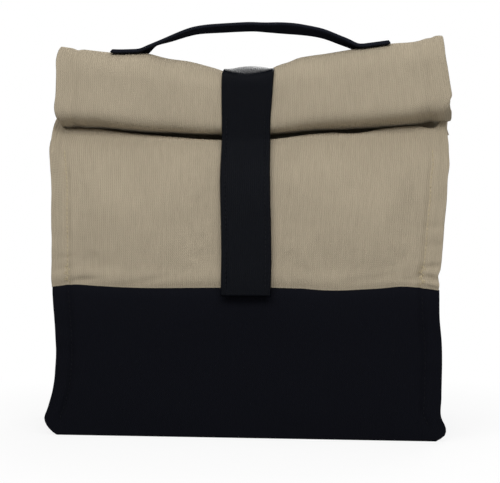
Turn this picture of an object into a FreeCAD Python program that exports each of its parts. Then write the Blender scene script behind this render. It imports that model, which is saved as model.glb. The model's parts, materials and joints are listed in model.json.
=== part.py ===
"""Soft roll-top lunch bag: a canvas box with an insulated lining, a contrasting lower band, a sleeve that
rolls down to close, a strap that holds the roll with hook-and-loop tape, and a webbing carry handle.

The origin is the middle of the base on the floor, +X is the bag's right as seen from the front, +Y points
to the back and +Z up. The bag is modelled closed. Every layer is its own solid with a small gap round it.
"""
import FreeCAD, Part
import os

import Sketcher

# Driving dimensions in millimetres, with what each one measures
SIZES = [
    ("bag_width", 216, "across the outer faces of the side panels"),
    ("bag_depth", 120, "across the outer faces of the front and back at the base"),
    ("band_height", 92, "top edge of the dark lower band"),
    ("neck_height", 178.5, "top edge of the sloping walls, where the sleeve begins"),
    ("front_swell", 3.5, "how far the front wall swells out between the band and the neck"),
    ("back_swell", 6, "how far the back wall swells out between the band and the neck"),
    ("seam_flange", 9, "corner seam standing out beyond the side panel"),
    ("canvas", 1.2, "outer canvas"),
    ("foam", 4, "insulating foam"),
    ("lining", 0.6, "wipe-clean lining"),
    ("board", 2, "stiffening board in the base"),
    ("board_corner", 10, "corner radius of the base layers"),
    ("layer_gap", 0.3, "clearance between sewn layers"),
    ("gusset_tuck", 40, "how far each side folds inwards at the neck"),
    ("gusset_tip", 1.2, "width of the fold's inner tip at the neck"),
    ("fold_start", 0.02, "share of the fold already made at the band, so that its creases have two edges"),
    ("gusset_lining", 2, "padded lining of the folding sides"),
    ("roll_flare", 5, "how far the roll reaches beyond the band at each end"),
    ("roll_depth", 40, "front to back through the roll"),
    ("roll_height", 40.5, "height of the roll under the strap"),
    ("roll_forward", 14, "how far the roll lies ahead of the bag's middle"),
    ("roll_overhang", 4, "front of the roll ahead of the wall under it"),
    ("roll_clear", 3.2, "gap under the roll, which its inner leg swings through"),
    ("roll_radius", 9, "outer corner radius of the roll"),
    ("ply", 2.5, "one wall of the rolled sleeve"),
    ("sleeve_gap", 3, "room between the two walls of the sleeve"),
    ("return_length", 24, "bottom run of the roll"),
    ("hem_length", 18, "hemmed mouth tucked up inside the roll"),
    ("mitre_relief", 2, "angle in degrees taken off each end of a run of the roll"),
    ("crest_lift", 13, "how far the roll's full ends stand above its middle"),
    ("crest_edge", 3, "set-back of the full ends from the roll's front and back"),
    ("crest_round", 7, "rounding along the full ends"),
    ("strap_width", 30, "closing strap"),
    ("strap_thickness", 2.4, "closing strap, two canvas layers and their turnings"),
    ("strap_margin", 3, "room beside the strap in the dip of the roll"),
    ("strap_tail", 26, "length of strap sewn down behind the roll"),
    ("strap_root", 4, "straight run of strap above its bending line"),
    ("strap_overlap", 6, "strap end below the band's top edge"),
    ("tape_width", 25, "hook tape and loop tape"),
    ("tape_thickness", 1.5, "hook tape and loop tape, each"),
    ("tape_above_band", 5, "lower end of the loop tape above the band"),
    ("loop_length", 66, "loop tape on the front wall"),
    ("hook_length", 52, "hook tape on the strap"),
    ("handle_width", 25, "carry handle webbing"),
    ("handle_thickness", 3, "carry handle, folded webbing"),
    ("handle_span", 132, "between the sewn ends of the handle"),
    ("handle_tab", 20, "sewn end of the handle"),
    ("handle_rise", 13, "top of the handle above its sewn ends"),
    ("handle_riser", 14, "stiff run of webbing beside each sewn end"),
]

# Plain expressions over those dimensions, shared by the pieces that meet
HALF_WIDTH = "(Sizes.bag_width / 2)"
HALF_DEPTH = "(Sizes.bag_depth / 2)"
BAND_EDGE = f"({HALF_WIDTH} + Sizes.seam_flange)"
NECK_EDGE = f"({BAND_EDGE} + Sizes.roll_flare)"
ROLL_WIDTH = f"(2 * {NECK_EDGE})"
NECK_WEB = f"({NECK_EDGE} - Sizes.seam_flange)"
SLOPE_RISE = "(Sizes.neck_height - Sizes.band_height)"
ROLL_FRONT = "(-Sizes.roll_forward - Sizes.roll_depth / 2)"
ROLL_BACK = "(Sizes.roll_depth / 2 - Sizes.roll_forward)"
ROLL_BOTTOM = "(Sizes.neck_height + Sizes.layer_gap + Sizes.ply + Sizes.roll_clear)"
ROLL_TOP = f"({ROLL_BOTTOM} + Sizes.roll_height)"
CREST_TOP = f"({ROLL_TOP} + Sizes.crest_lift)"
NECK_FRONT = f"({ROLL_FRONT} + Sizes.roll_overhang)"
RETURN_BACK = f"({ROLL_FRONT} + Sizes.return_length)"
LEG = "(2 * Sizes.ply + Sizes.sleeve_gap)"
INNER_PLY = "(Sizes.ply + Sizes.sleeve_gap)"
MITRE = "((45 - Sizes.mitre_relief) * 1 deg)"
STRAP_OUT = "(-Sizes.layer_gap - Sizes.strap_thickness)"
STRAP_IN = "(-Sizes.layer_gap)"
STRAP_BEND = "(Sizes.roll_radius + Sizes.strap_root)"
HALF_STRAP = "(Sizes.strap_width / 2)"
SEAM_IN = "(Sizes.canvas + Sizes.layer_gap)"
FOAM_IN = f"({SEAM_IN} + Sizes.foam)"
LINING_OUT = f"({FOAM_IN} + Sizes.layer_gap)"
LINING_IN = f"({LINING_OUT} + Sizes.lining)"
ROOM = f"({LINING_IN} + Sizes.layer_gap)"
FOLD = "(Sizes.gusset_tuck + Sizes.canvas)"
WALLS_BOTTOM = f"({SEAM_IN})"
SLOPES = {
    -1: f"atan(({HALF_DEPTH} + {NECK_FRONT}) / {SLOPE_RISE})",
    1: f"atan(({HALF_DEPTH} - {ROLL_BACK}) / {SLOPE_RISE})",
}
SWELLS = {-1: "Sizes.front_swell", 1: "Sizes.back_swell"}
SIDE_NAMES = {-1: "left", 1: "right"}
WALL_NAMES = {-1: "front", 1: "back"}

doc = FreeCAD.newDocument("LunchBag")
sheet = doc.addObject("Spreadsheet::Sheet", "Sizes")
for row, (alias, size, note) in enumerate(SIZES, start=1):
    sheet.set(f"A{row}", alias)
    sheet.set(f"B{row}", str(size))
    sheet.set(f"C{row}", note)
    sheet.setAlias(f"B{row}", alias)
doc.recompute()


def measure(expression):
    """The number that an expression over the sheet gives."""
    found = sheet.evalExpression(expression.replace("Sizes.", ""))
    return float(getattr(found, "Value", found))


def spot(corner):
    """A sketch point from a pair of expressions."""
    return FreeCAD.Vector(measure(corner[0]), measure(corner[1]), 0)


def new_body(label):
    body = doc.addObject("PartDesign::Body", label)
    body.Label = label
    return body


def draw_edge(sketch, corner, start, finish):
    """Adds one edge from start to finish and returns its index and the numbers of its two ends."""
    if len(corner) == 2:
        return sketch.addGeometry(Part.LineSegment(start, finish)), 1, 2
    centre = spot(corner[2])
    circle = Part.Circle(centre, FreeCAD.Vector(0, 0, 1), measure(corner[3]))
    turns_left = (start - centre).cross(finish - centre).z > 0
    first, last = (start, finish) if turns_left else (finish, start)
    arc = Part.ArcOfCircle(circle, circle.parameter(first), circle.parameter(last))
    index = sketch.addGeometry(arc)
    radius = sketch.addConstraint(Sketcher.Constraint("Radius", index, measure(corner[3])))
    sketch.setExpression(f"Constraints[{radius}]", corner[3])
    return (index, 1, 2) if turns_left else (index, 2, 1)


def draw_outline(sketch, corners):
    """A closed outline. Each corner is a pair of expressions, and one that starts an arc adds its centre
    and its radius."""
    spots = [spot(corner) for corner in corners]
    runs = zip(corners, spots, spots[1:] + spots[:1])
    edges = [draw_edge(sketch, *run) for run in runs]
    for i, (index, begin, end) in enumerate(edges):
        follower, follower_begin, _ = edges[(i + 1) % len(edges)]
        sketch.addConstraint(Sketcher.Constraint("Coincident", index, end, follower, follower_begin))
        for kind, expression in zip(("DistanceX", "DistanceY"), corners[i]):
            made = Sketcher.Constraint(kind, -1, 1, index, begin, measure(expression))
            number = sketch.addConstraint(made)
            sketch.setExpression(f"Constraints[{number}]", expression)


def add_sketch(body, plane, outlines, offset="0"):
    """A sketch on one of the body's origin planes, moved along that plane's normal by offset."""
    sketch = body.newObject("Sketcher::SketchObject", f"{body.Name}_outline")
    role = f"{plane}_Plane"
    support = next(feature for feature in body.Origin.OriginFeatures if feature.Role == role)
    sketch.AttachmentSupport = [(support, "")]
    sketch.MapMode = "FlatFace"
    sketch.setExpression("AttachmentOffset.Base.z", offset)
    for outline in outlines:
        draw_outline(sketch, outline)
    return sketch


def add_pad(body, sketch, length, symmetric=False):
    pad = body.newObject("PartDesign::Pad", f"{body.Name}_pad")
    pad.Profile = sketch
    pad.setExpression("Length", length)
    if symmetric:
        pad.SideType = "Symmetric"
    return pad


def cut_through(body, plane, outlines):
    """Cuts outlines right through the body, both ways from the plane."""
    sketch = add_sketch(body, plane, outlines)
    pocket = body.newObject("PartDesign::Pocket", f"{body.Name}_cut")
    pocket.Profile = sketch
    pocket.SideType = "Symmetric"
    pocket.Type = "ThroughAll"


def side_view_solid(label, corners, width, middle="0"):
    """A solid with one outline seen from the side, as wide as width about middle. Corners are (y, z)."""
    body = new_body(label)
    add_pad(body, add_sketch(body, "YZ", [corners], middle), width, symmetric=True)
    return body


def front_view_solid(label, corners, depth, middle):
    """A solid with one outline seen from the front, depth deep about y = middle. Corners are (x, z)."""
    body = new_body(label)
    add_pad(body, add_sketch(body, "XZ", [corners], f"-({middle})"), depth, symmetric=True)
    return body


def plan_solid(label, corners, bottom, height):
    """A solid with one outline seen from above. Corners are (x, y)."""
    body = new_body(label)
    add_pad(body, add_sketch(body, "XY", [corners], bottom), height)
    return body


def flat_sided_solid(label, low_corners, low, top_corners, top):
    """A solid with flat faces from an outline seen from above at one height to its mate at another."""
    low_ring = [spot(corner) + FreeCAD.Vector(0, 0, measure(low)) for corner in low_corners]
    top_ring = [spot(corner) + FreeCAD.Vector(0, 0, measure(top)) for corner in top_corners]
    rings = [low_ring, top_ring]
    for i in range(len(low_ring)):
        rings.append([low_ring[i - 1], low_ring[i], top_ring[i], top_ring[i - 1]])
    faces = [Part.Face(Part.makePolygon(ring, True)) for ring in rings]
    solid = Part.makeSolid(Part.makeShell(faces))
    if solid.Volume < 0:
        solid.reverse()
    feature = doc.addObject("Part::Feature", label)
    feature.Label = label
    feature.Shape = solid


def rectangle(low_x, low_y, high_x, high_y):
    return [(low_x, low_y), (high_x, low_y), (high_x, high_y), (low_x, high_y)]


def rounded_rectangle(half_x, half_y, radius):
    """A rectangle about the middle whose corners are arcs."""
    in_x = f"({half_x} - {radius})"
    in_y = f"({half_y} - {radius})"
    return [
        (in_x, f"-{half_y}", (in_x, f"-{in_y}"), radius),
        (half_x, f"-{in_y}"),
        (half_x, in_y, (in_x, in_y), radius),
        (in_x, half_y),
        (f"-{in_x}", half_y, (f"-{in_x}", in_y), radius),
        (f"-{half_x}", in_y),
        (f"-{half_x}", f"-{in_y}", (f"-{in_x}", f"-{in_y}"), radius),
        (f"-{in_x}", f"-{half_y}"),
    ]


def wall_y(side, height, inset):
    """Where a layer of the sloping front or back wall lies at a height, inset from the outer face."""
    slope = SLOPES[side]
    ahead = f"({height} - Sizes.band_height) * tan({slope})"
    return f"({side} * ({HALF_DEPTH} - {ahead} - ({inset}) / cos({slope})))"


def swell_radius(side, outset):
    """Radius of a layer of the swelling front or back canvas, outset from its outer face."""
    half_chord = f"({SLOPE_RISE} / cos({SLOPES[side]}) / 2)"
    return f"(({half_chord}^2 + {SWELLS[side]}^2) / (2 * {SWELLS[side]}) + ({outset}))"


def swell_centre(side):
    """Middle of the arc that the swelling front or back canvas follows, seen from the side."""
    slope = SLOPES[side]
    back = f"({swell_radius(side, '0')} - {SWELLS[side]})"
    middle_z = "((Sizes.band_height + Sizes.neck_height) / 2)"
    centre_y = f"({wall_y(side, middle_z, '0')} - {side} * {back} * cos({slope}))"
    return centre_y, f"({middle_z} - {back} * sin({slope}))"


def swell_y(side, height, outset):
    """Where a layer of the swelling canvas lies at a height."""
    centre_y, centre_z = swell_centre(side)
    return f"({centre_y} + {side} * sqrt({swell_radius(side, outset)}^2 - ({height} - {centre_z})^2))"


def swell_z(side, place, outset):
    """Height at which a layer of the swelling canvas passes a place in depth."""
    centre_y, centre_z = swell_centre(side)
    return f"({centre_z} + sqrt({swell_radius(side, outset)}^2 - ({place} - {centre_y})^2))"


def swell_strip(side, low, high, outset, thickness):
    """Side view of a strip that lies on the swelling canvas between two heights."""
    centre = swell_centre(side)
    face = f"({outset} + {thickness})"
    return [
        (swell_y(side, low, face), low, centre, swell_radius(side, face)),
        (swell_y(side, high, face), high),
        (swell_y(side, high, outset), high, centre, swell_radius(side, outset)),
        (swell_y(side, low, outset), low),
    ]


def upright_y(side, inset):
    """Where a layer of the upright lower front or back wall lies."""
    return f"({side} * ({HALF_DEPTH} - ({inset})))"


def bend_z(side, inset):
    """Height at which a layer of the wall bends from upright to sloping."""
    return f"(Sizes.band_height - ({inset}) * tan({SLOPES[side]} / 2))"


def neck_seam(side):
    """Where the seam of the front or back wall lies at the neck."""
    return wall_y(side, "Sizes.neck_height", SEAM_IN)


NECK_MIDDLE = f"(({neck_seam(-1)} + {neck_seam(1)}) / 2)"


def fold_reach(side, start):
    """Run along Y from a wall's point at the neck to the near edge of the fold's tip."""
    return f"({NECK_MIDDLE} + {side} * Sizes.gusset_tip / 2 - {start})"


def fold_clear(side):
    """Points of (half width, height) that keep a wall's layers clear of the folded sides: beside the start
    of the fold, and where a crease passes the wall's inmost layer."""
    share = f"({side} * ({SEAM_IN} - {ROOM}) / cos({SLOPES[side]}) / {fold_reach(side, neck_seam(side))})"
    web = f"({HALF_WIDTH} + {share} * ({NECK_WEB} - {HALF_WIDTH}))"
    start_half = f"({HALF_WIDTH} - {SEAM_IN} - {FOLD} * Sizes.fold_start)"
    knee_half = f"({web} - {SEAM_IN} - {FOLD} * ({share} + Sizes.fold_start))"
    knee_z = f"(Sizes.band_height + {share} * {SLOPE_RISE})"
    start = (start_half, "(Sizes.band_height - Sizes.layer_gap)")
    return [start, (knee_half, knee_z), (knee_half, "Sizes.neck_height")]


def trim_sides(body, line):
    """Trims a wall's two side edges to a line of (half width, height) points, from the lowest up."""
    past = ROLL_WIDTH
    outlines = []
    for side in SIDE_NAMES:
        edge = [(f"{side} * {half}", height) for half, height in line]
        edge += [(f"{side} * {past}", line[-1][1]), (f"{side} * {past}", line[0][1])]
        outlines.append(edge)
    cut_through(body, "XZ", outlines)


def make_base():
    """The base: outer panel, board, foam and lining, one above the other."""
    outline = rectangle(f"-{HALF_WIDTH}", f"-{HALF_DEPTH}", HALF_WIDTH, HALF_DEPTH)
    plan_solid("base_panel", outline, "0", "Sizes.canvas")
    inner = rounded_rectangle(f"({HALF_WIDTH} - {ROOM})", f"({HALF_DEPTH} - {ROOM})", "Sizes.board_corner")
    foam_bottom = f"({WALLS_BOTTOM} + Sizes.board + Sizes.layer_gap)"
    plan_solid("base_board", inner, WALLS_BOTTOM, "Sizes.board")
    plan_solid("base_foam", inner, foam_bottom, "Sizes.foam")
    plan_solid("base_lining", inner, f"({foam_bottom} + Sizes.foam + Sizes.layer_gap)", "Sizes.lining")


def make_band():
    """The dark lower band: flat front and back, and sides whose seam allowances are turned outwards."""
    band_top = "(Sizes.band_height - Sizes.layer_gap)"
    for side, name in WALL_NAMES.items():
        outer = upright_y(side, "0")
        inner = upright_y(side, "Sizes.canvas")
        corners = rectangle(outer, WALLS_BOTTOM, inner, band_top)
        side_view_solid(f"band_{name}", corners, f"(2 * {BAND_EDGE})")
    seam = f"({HALF_DEPTH} - {SEAM_IN})"
    seam_inner = f"({seam} - Sizes.canvas)"
    for side, name in SIDE_NAMES.items():
        corners = [
            (f"{side} * {BAND_EDGE}", f"-{seam}"),
            (f"{side} * {BAND_EDGE}", f"-{seam_inner}"),
            (f"{side} * {HALF_WIDTH}", f"-{seam_inner}"),
            (f"{side} * {HALF_WIDTH}", seam_inner),
            (f"{side} * {BAND_EDGE}", seam_inner),
            (f"{side} * {BAND_EDGE}", seam),
            (f"{side} * ({HALF_WIDTH} - Sizes.canvas)", seam),
            (f"{side} * ({HALF_WIDTH} - Sizes.canvas)", f"-{seam}"),
        ]
        plan_solid(f"band_{name}", corners, WALLS_BOTTOM, f"({band_top} - {WALLS_BOTTOM})")


def make_upper_walls():
    """The light canvas of the front and back, which leans in from the band to the neck and swells out."""
    for side, name in WALL_NAMES.items():
        heights = ("Sizes.band_height", "Sizes.neck_height")
        corners = swell_strip(side, *heights, "-Sizes.canvas", "Sizes.canvas")
        body = side_view_solid(f"{name}_panel", corners, ROLL_WIDTH)
        trim_sides(body, [(BAND_EDGE, "Sizes.band_height"), (NECK_EDGE, "Sizes.neck_height")])


def make_wall_layer(label, side, outer, inner):
    """One inner layer of the front or back wall, upright behind the band and sloping above it."""
    corners = [
        (upright_y(side, outer), WALLS_BOTTOM),
        (upright_y(side, outer), bend_z(side, outer)),
        (wall_y(side, "Sizes.neck_height", outer), "Sizes.neck_height"),
        (wall_y(side, "Sizes.neck_height", inner), "Sizes.neck_height"),
        (upright_y(side, inner), bend_z(side, inner)),
        (upright_y(side, inner), WALLS_BOTTOM),
    ]
    full_half = f"({HALF_WIDTH} - {SEAM_IN})"
    body = side_view_solid(label, corners, f"(2 * {full_half})")
    trim_sides(body, fold_clear(side))


def make_insulation():
    """Foam and lining of the four walls. The side layers stand between the front and back ones."""
    for side, name in WALL_NAMES.items():
        make_wall_layer(f"{name}_foam", side, SEAM_IN, FOAM_IN)
        make_wall_layer(f"{name}_lining", side, LINING_OUT, LINING_IN)
    reach = f"({HALF_DEPTH} - {ROOM})"
    height = f"({bend_z(1, ROOM)} - Sizes.layer_gap - {WALLS_BOTTOM})"
    for side, name in SIDE_NAMES.items():
        for layer, outer, inner in (("foam", SEAM_IN, FOAM_IN), ("lining", LINING_OUT, LINING_IN)):
            outer_x = f"{side} * ({HALF_WIDTH} - {outer})"
            inner_x = f"{side} * ({HALF_WIDTH} - {inner})"
            corners = rectangle(outer_x, f"-{reach}", inner_x, reach)
            plan_solid(f"{name}_{layer}", corners, WALLS_BOTTOM, height)


def fold_points(side, height, web, share, inset, skin):
    """The four corners of a folding side's face at one height, from the front seam to the back one. The
    fold's two creases start beside the seams at the band and meet in its tip at the neck."""
    tuck = f"((Sizes.gusset_tuck + {skin}) * {share})"
    corners = []
    for wall in WALL_NAMES:
        seam = wall_y(wall, height, inset)
        reach = fold_reach(wall, wall_y(wall, "Sizes.neck_height", inset))
        line = f"({web} - {skin})"
        fold = f"({seam} + {share} * {reach})"
        pair = [(f"{side} * {line}", seam), (f"{side} * ({line} - {tuck})", fold)]
        corners += pair if wall < 0 else pair[::-1]
    return corners


def gusset_section(side, height, web, share):
    """Plan of a folding side at one height: two turned-out seam allowances and a fold pointing inwards."""
    turned = f"({SEAM_IN} + Sizes.canvas)"
    edge = f"{side} * ({web} + Sizes.seam_flange)"
    front_turning = [(edge, wall_y(-1, height, SEAM_IN)), (edge, wall_y(-1, height, turned))]
    back_turning = [(edge, wall_y(1, height, turned)), (edge, wall_y(1, height, SEAM_IN))]
    outer_face = fold_points(side, height, web, share, turned, "0")
    inner_face = fold_points(side, height, web, share, SEAM_IN, "Sizes.canvas")
    return front_turning + outer_face + back_turning + inner_face[::-1]


def gusset_lining_section(side, height, web, share):
    """Plan of the padded lining behind a folding side's leaning face, which narrows towards the tip."""
    face = f"({web} - Sizes.canvas - 2 * Sizes.layer_gap - {FOLD} * {share})"
    ends = []
    for wall in WALL_NAMES:
        band_end = wall_y(wall, "Sizes.band_height", f"({ROOM} + Sizes.layer_gap)")
        tip_end = f"({NECK_MIDDLE} + {wall} * Sizes.gusset_tip / 4)"
        ends.append(f"({band_end} + {share} * ({tip_end} - {band_end}))")
    return rectangle(f"{side} * {face}", ends[0], f"{side} * ({face} - Sizes.gusset_lining)", ends[1])


def make_gussets():
    """The folding sides above the band, flat at the band and folded inwards to a tip at the neck. A folded
    cloth is flat between its creases, so these solids are built from flat faces and not lofted."""
    for side, name in SIDE_NAMES.items():
        for label, section in (("gusset", gusset_section), ("gusset_lining", gusset_lining_section)):
            low = section(side, "Sizes.band_height", HALF_WIDTH, "Sizes.fold_start")
            top = section(side, "Sizes.neck_height", NECK_WEB, "1")
            flat_sided_solid(f"{name}_{label}", low, "Sizes.band_height", top, "Sizes.neck_height")


# The runs of the roll, each from an outer corner along the roll, with depths measured into the roll
def neck_run(along, depth):
    return f"({ROLL_BACK} - ({depth}))", f"({ROLL_TOP} - ({along}))"


def crest_run(along, depth):
    return f"({ROLL_BACK} - ({along}))", f"({ROLL_TOP} - ({depth}))"


def front_run(along, depth):
    return f"({ROLL_FRONT} + ({depth}))", f"({ROLL_TOP} - ({along}))"


def return_run(along, depth):
    return f"({ROLL_FRONT} + ({along}))", f"({ROLL_BOTTOM} + ({depth}))"


def hem_run(along, depth):
    return f"({RETURN_BACK} - ({depth}))", f"({ROLL_BOTTOM} + ({along}))"


def arc_end(depth):
    """Along and depth of the point where a layer's corner arc stops, short of the mitre."""
    radius = f"(Sizes.roll_radius - {depth})"
    along = f"(Sizes.roll_radius - {radius} * sin({MITRE}))"
    return along, f"(Sizes.roll_radius - {radius} * cos({MITRE}))"


def run_outline(run, outer, inner, length, rounded_end):
    """Outline of one layer of a run. It starts at a rounded mitred corner, and it ends at another one,
    length away, or square at that length."""
    radius = "Sizes.roll_radius"
    outer_radius = f"({radius} - {outer})"
    inner_radius = f"({radius} - {inner})"
    start_centre = run(radius, radius)
    end_centre = run(f"({length} - {radius})", radius)
    outer_along, outer_depth = arc_end(outer)
    inner_along, inner_depth = arc_end(inner)
    corners = [
        (*run(outer_along, outer_depth), start_centre, outer_radius),
        run(radius, outer),
    ]
    if rounded_end:
        corners += [
            (*run(f"({length} - {radius})", outer), end_centre, outer_radius),
            run(f"({length} - {outer_along})", outer_depth),
            (*run(f"({length} - {inner_along})", inner_depth), end_centre, inner_radius),
            run(f"({length} - {radius})", inner),
        ]
    else:
        corners += [run(length, outer), run(length, inner)]
    corners += [
        (*run(radius, inner), start_centre, inner_radius),
        run(inner_along, inner_depth),
    ]
    return corners


def make_neck():
    """The standing back wall of the sleeve, and its front wall that crosses under the roll and turns up."""
    neck_bottom = f"({ROLL_TOP} - Sizes.neck_height - Sizes.layer_gap)"
    shoulder_top = f"({neck_bottom} - Sizes.ply)"
    outer_ply = run_outline(neck_run, "0", "Sizes.ply", neck_bottom, False)
    side_view_solid("neck_outer_ply", outer_ply, ROLL_WIDTH)
    across = f"({ROLL_BACK} - {NECK_FRONT})"
    inner_ply = run_outline(neck_run, INNER_PLY, LEG, neck_bottom, False)
    shoulder_front = [neck_run(neck_bottom, across), neck_run(shoulder_top, across)]
    inner_ply[3:4] = [*shoulder_front, neck_run(shoulder_top, LEG)]
    side_view_solid("neck_inner_ply", inner_ply, ROLL_WIDTH)


def make_crest():
    """Top run of the roll. It dips at the strap, and its ends are full, as the folded sides lie inside."""
    outer_ply = run_outline(crest_run, "0", "Sizes.ply", "Sizes.roll_depth", True)
    body = side_view_solid("crest_outer_ply", outer_ply, ROLL_WIDTH)
    front = f"({ROLL_FRONT} + Sizes.crest_edge)"
    back = f"({ROLL_BACK} - Sizes.crest_edge)"
    low = f"({ROLL_TOP} - Sizes.ply)"
    shoulder = f"({CREST_TOP} - Sizes.crest_round)"
    front_in = f"({front} + Sizes.crest_round)"
    back_in = f"({back} - Sizes.crest_round)"
    full_end = [
        (front, low),
        (back, low),
        (back, shoulder, (back_in, shoulder), "Sizes.crest_round"),
        (back_in, CREST_TOP),
        (front_in, CREST_TOP, (front_in, shoulder), "Sizes.crest_round"),
        (front, shoulder),
    ]
    floor = f"({HALF_STRAP} + Sizes.strap_margin)"
    top = "(Sizes.handle_span / 2)"
    slopes = []
    for side in SIDE_NAMES:
        sketch = add_sketch(body, "YZ", [full_end], f"{side} * ({NECK_EDGE} + {floor}) / 2")
        add_pad(body, sketch, f"({NECK_EDGE} - {floor})", symmetric=True)
        start = f"{side} * {floor}"
        slopes.append([(start, ROLL_TOP), (f"{side} * {top}", CREST_TOP), (start, CREST_TOP)])
    cut_through(body, "XZ", slopes)
    inner_ply = run_outline(crest_run, INNER_PLY, LEG, "Sizes.roll_depth", True)
    side_view_solid("crest_inner_ply", inner_ply, ROLL_WIDTH)


def make_inner_roll():
    """Front, bottom and hem runs of the roll, each with the sleeve's outer and inner walls."""
    runs = (
        ("roll_front", front_run, "Sizes.roll_height", True),
        ("roll_return", return_run, "Sizes.return_length", True),
        ("hem", hem_run, "Sizes.hem_length", False),
    )
    for name, run, length, rounded_end in runs:
        for ply, outer, inner in (("outer", "0", "Sizes.ply"), ("inner", INNER_PLY, LEG)):
            corners = run_outline(run, outer, inner, length, rounded_end)
            side_view_solid(f"{name}_{ply}_ply", corners, ROLL_WIDTH)


def make_strap():
    """The closing strap: sewn down behind the roll, over the dip of the crest and down the front."""
    tail = run_outline(neck_run, STRAP_OUT, STRAP_IN, "Sizes.strap_tail", False)
    side_view_solid("strap_tail", tail, "Sizes.strap_width")
    crest = run_outline(crest_run, STRAP_OUT, STRAP_IN, "Sizes.roll_depth", True)
    side_view_solid("strap_crest", crest, "Sizes.strap_width")
    root = run_outline(front_run, STRAP_OUT, STRAP_IN, STRAP_BEND, False)
    side_view_solid("strap_root", root, "Sizes.strap_width")
    inset = "(3 * Sizes.layer_gap + 2 * Sizes.tape_thickness)"
    centre = swell_centre(-1)
    lines = []
    for outset, depth in ((inset, STRAP_IN), (f"({inset} + Sizes.strap_thickness)", STRAP_OUT)):
        upright = f"({ROLL_FRONT} + {depth})"
        foot = upright_y(-1, f"-({outset})")
        lines.append([
            (upright, f"({ROLL_TOP} - {STRAP_BEND} - Sizes.layer_gap)"),
            (upright, swell_z(-1, upright, outset), centre, swell_radius(-1, outset)),
            (foot, swell_z(-1, foot, outset)),
            (foot, "(Sizes.band_height - Sizes.strap_overlap)"),
        ])
    inner, outer = lines
    knee, bend = outer[1], outer[2]
    corners = inner + [outer[3], (*bend, *knee[2:]), knee[:2], outer[0]]
    side_view_solid("strap_flap", corners, "Sizes.strap_width")


def make_tapes():
    """The loop tape sewn to the front wall and the hook tape sewn to the strap, facing each other."""
    loop_low = "(Sizes.band_height + Sizes.tape_above_band)"
    hook_low = f"({loop_low} + (Sizes.loop_length - Sizes.hook_length) / 2)"
    tapes = (
        ("loop_tape", loop_low, "Sizes.loop_length", "Sizes.layer_gap"),
        ("hook_tape", hook_low, "Sizes.hook_length", "(2 * Sizes.layer_gap + Sizes.tape_thickness)"),
    )
    for label, low, length, outset in tapes:
        corners = swell_strip(-1, low, f"({low} + {length})", outset, "Sizes.tape_thickness")
        side_view_solid(label, corners, "Sizes.tape_width")


def make_handle():
    """The carry handle: an arched band over the roll, with sewn ends on the roll's full ends."""
    half_span = "(Sizes.handle_span / 2)"
    half_thick = "(Sizes.handle_thickness / 2)"
    radius = f"(({half_span}^2 + Sizes.handle_rise^2) / (2 * Sizes.handle_rise))"
    tab_z = f"({CREST_TOP} + Sizes.layer_gap + {half_thick})"
    centre_z = f"({tab_z} + Sizes.handle_rise - {radius})"
    centre = ("0", centre_z)
    outer = f"({radius} + {half_thick})"
    inner = f"({radius} - {half_thick})"

    def arch_z(arc, x):
        return f"({centre_z} + sqrt({arc}^2 - ({x})^2))"

    cut = f"({half_span} - Sizes.handle_riser)"
    arch = [
        (cut, arch_z(outer, cut), centre, outer),
        (f"-{cut}", arch_z(outer, cut)),
        (f"-{cut}", arch_z(inner, cut), centre, inner),
        (cut, arch_z(inner, cut)),
    ]
    front_view_solid("handle_grip", arch, "Sizes.handle_width", "-Sizes.roll_forward")
    stub = f"({cut} + Sizes.layer_gap)"
    tab_end = f"({half_span} + Sizes.handle_tab)"
    tab_low = f"({tab_z} - {half_thick})"
    tab_high = f"({tab_z} + {half_thick})"
    inner_foot = f"sqrt({inner}^2 - ({tab_low} - {centre_z})^2)"
    outer_foot = f"sqrt({outer}^2 - ({tab_high} - {centre_z})^2)"
    for side, name in SIDE_NAMES.items():
        corners = [
            (f"{side} * {stub}", arch_z(inner, stub), centre, inner),
            (f"{side} * {inner_foot}", tab_low),
            (f"{side} * {tab_end}", tab_low),
            (f"{side} * {tab_end}", tab_high),
            (f"{side} * {outer_foot}", tab_high, centre, outer),
            (f"{side} * {stub}", arch_z(outer, stub)),
        ]
        front_view_solid(f"handle_tab_{name}", corners, "Sizes.handle_width", "-Sizes.roll_forward")


def write_parts():
    """Checks every object and writes each sub-part to its own file."""
    doc.recompute()
    failed = [item.Label for item in doc.Objects if "Invalid" in item.State or "Error" in item.State]
    nodes = [item for item in doc.Objects if item.TypeId in ("PartDesign::Body", "Part::Feature")]
    for node in nodes:
        if node.Shape.isNull() or not node.Shape.isValid() or len(node.Shape.Solids) != 1:
            failed.append(node.Label)
    if failed:
        raise RuntimeError(f"these sub-parts failed: {failed}")
    os.makedirs("parts", exist_ok=True)
    for node in nodes:
        node.Shape.exportStep(f"parts/{node.Label}.step")


make_base()
make_band()
make_upper_walls()
make_insulation()
make_gussets()
make_neck()
make_crest()
make_inner_roll()
make_strap()
make_tapes()
make_handle()
write_parts()
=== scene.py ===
"""Looks of a soft roll-top lunch bag, dressed over its packed construction.

The canvas, the roll, the strap, the handle and the stitching are built here as cloth of real thickness, in
metres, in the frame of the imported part: +X to the bag's right, +Y to its back, +Z up, floor at zero.
"""
import json
import math

import bpy
import numpy as np
from bpy.props import FloatProperty, FloatVectorProperty, PointerProperty
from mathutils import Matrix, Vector, noise


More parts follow.
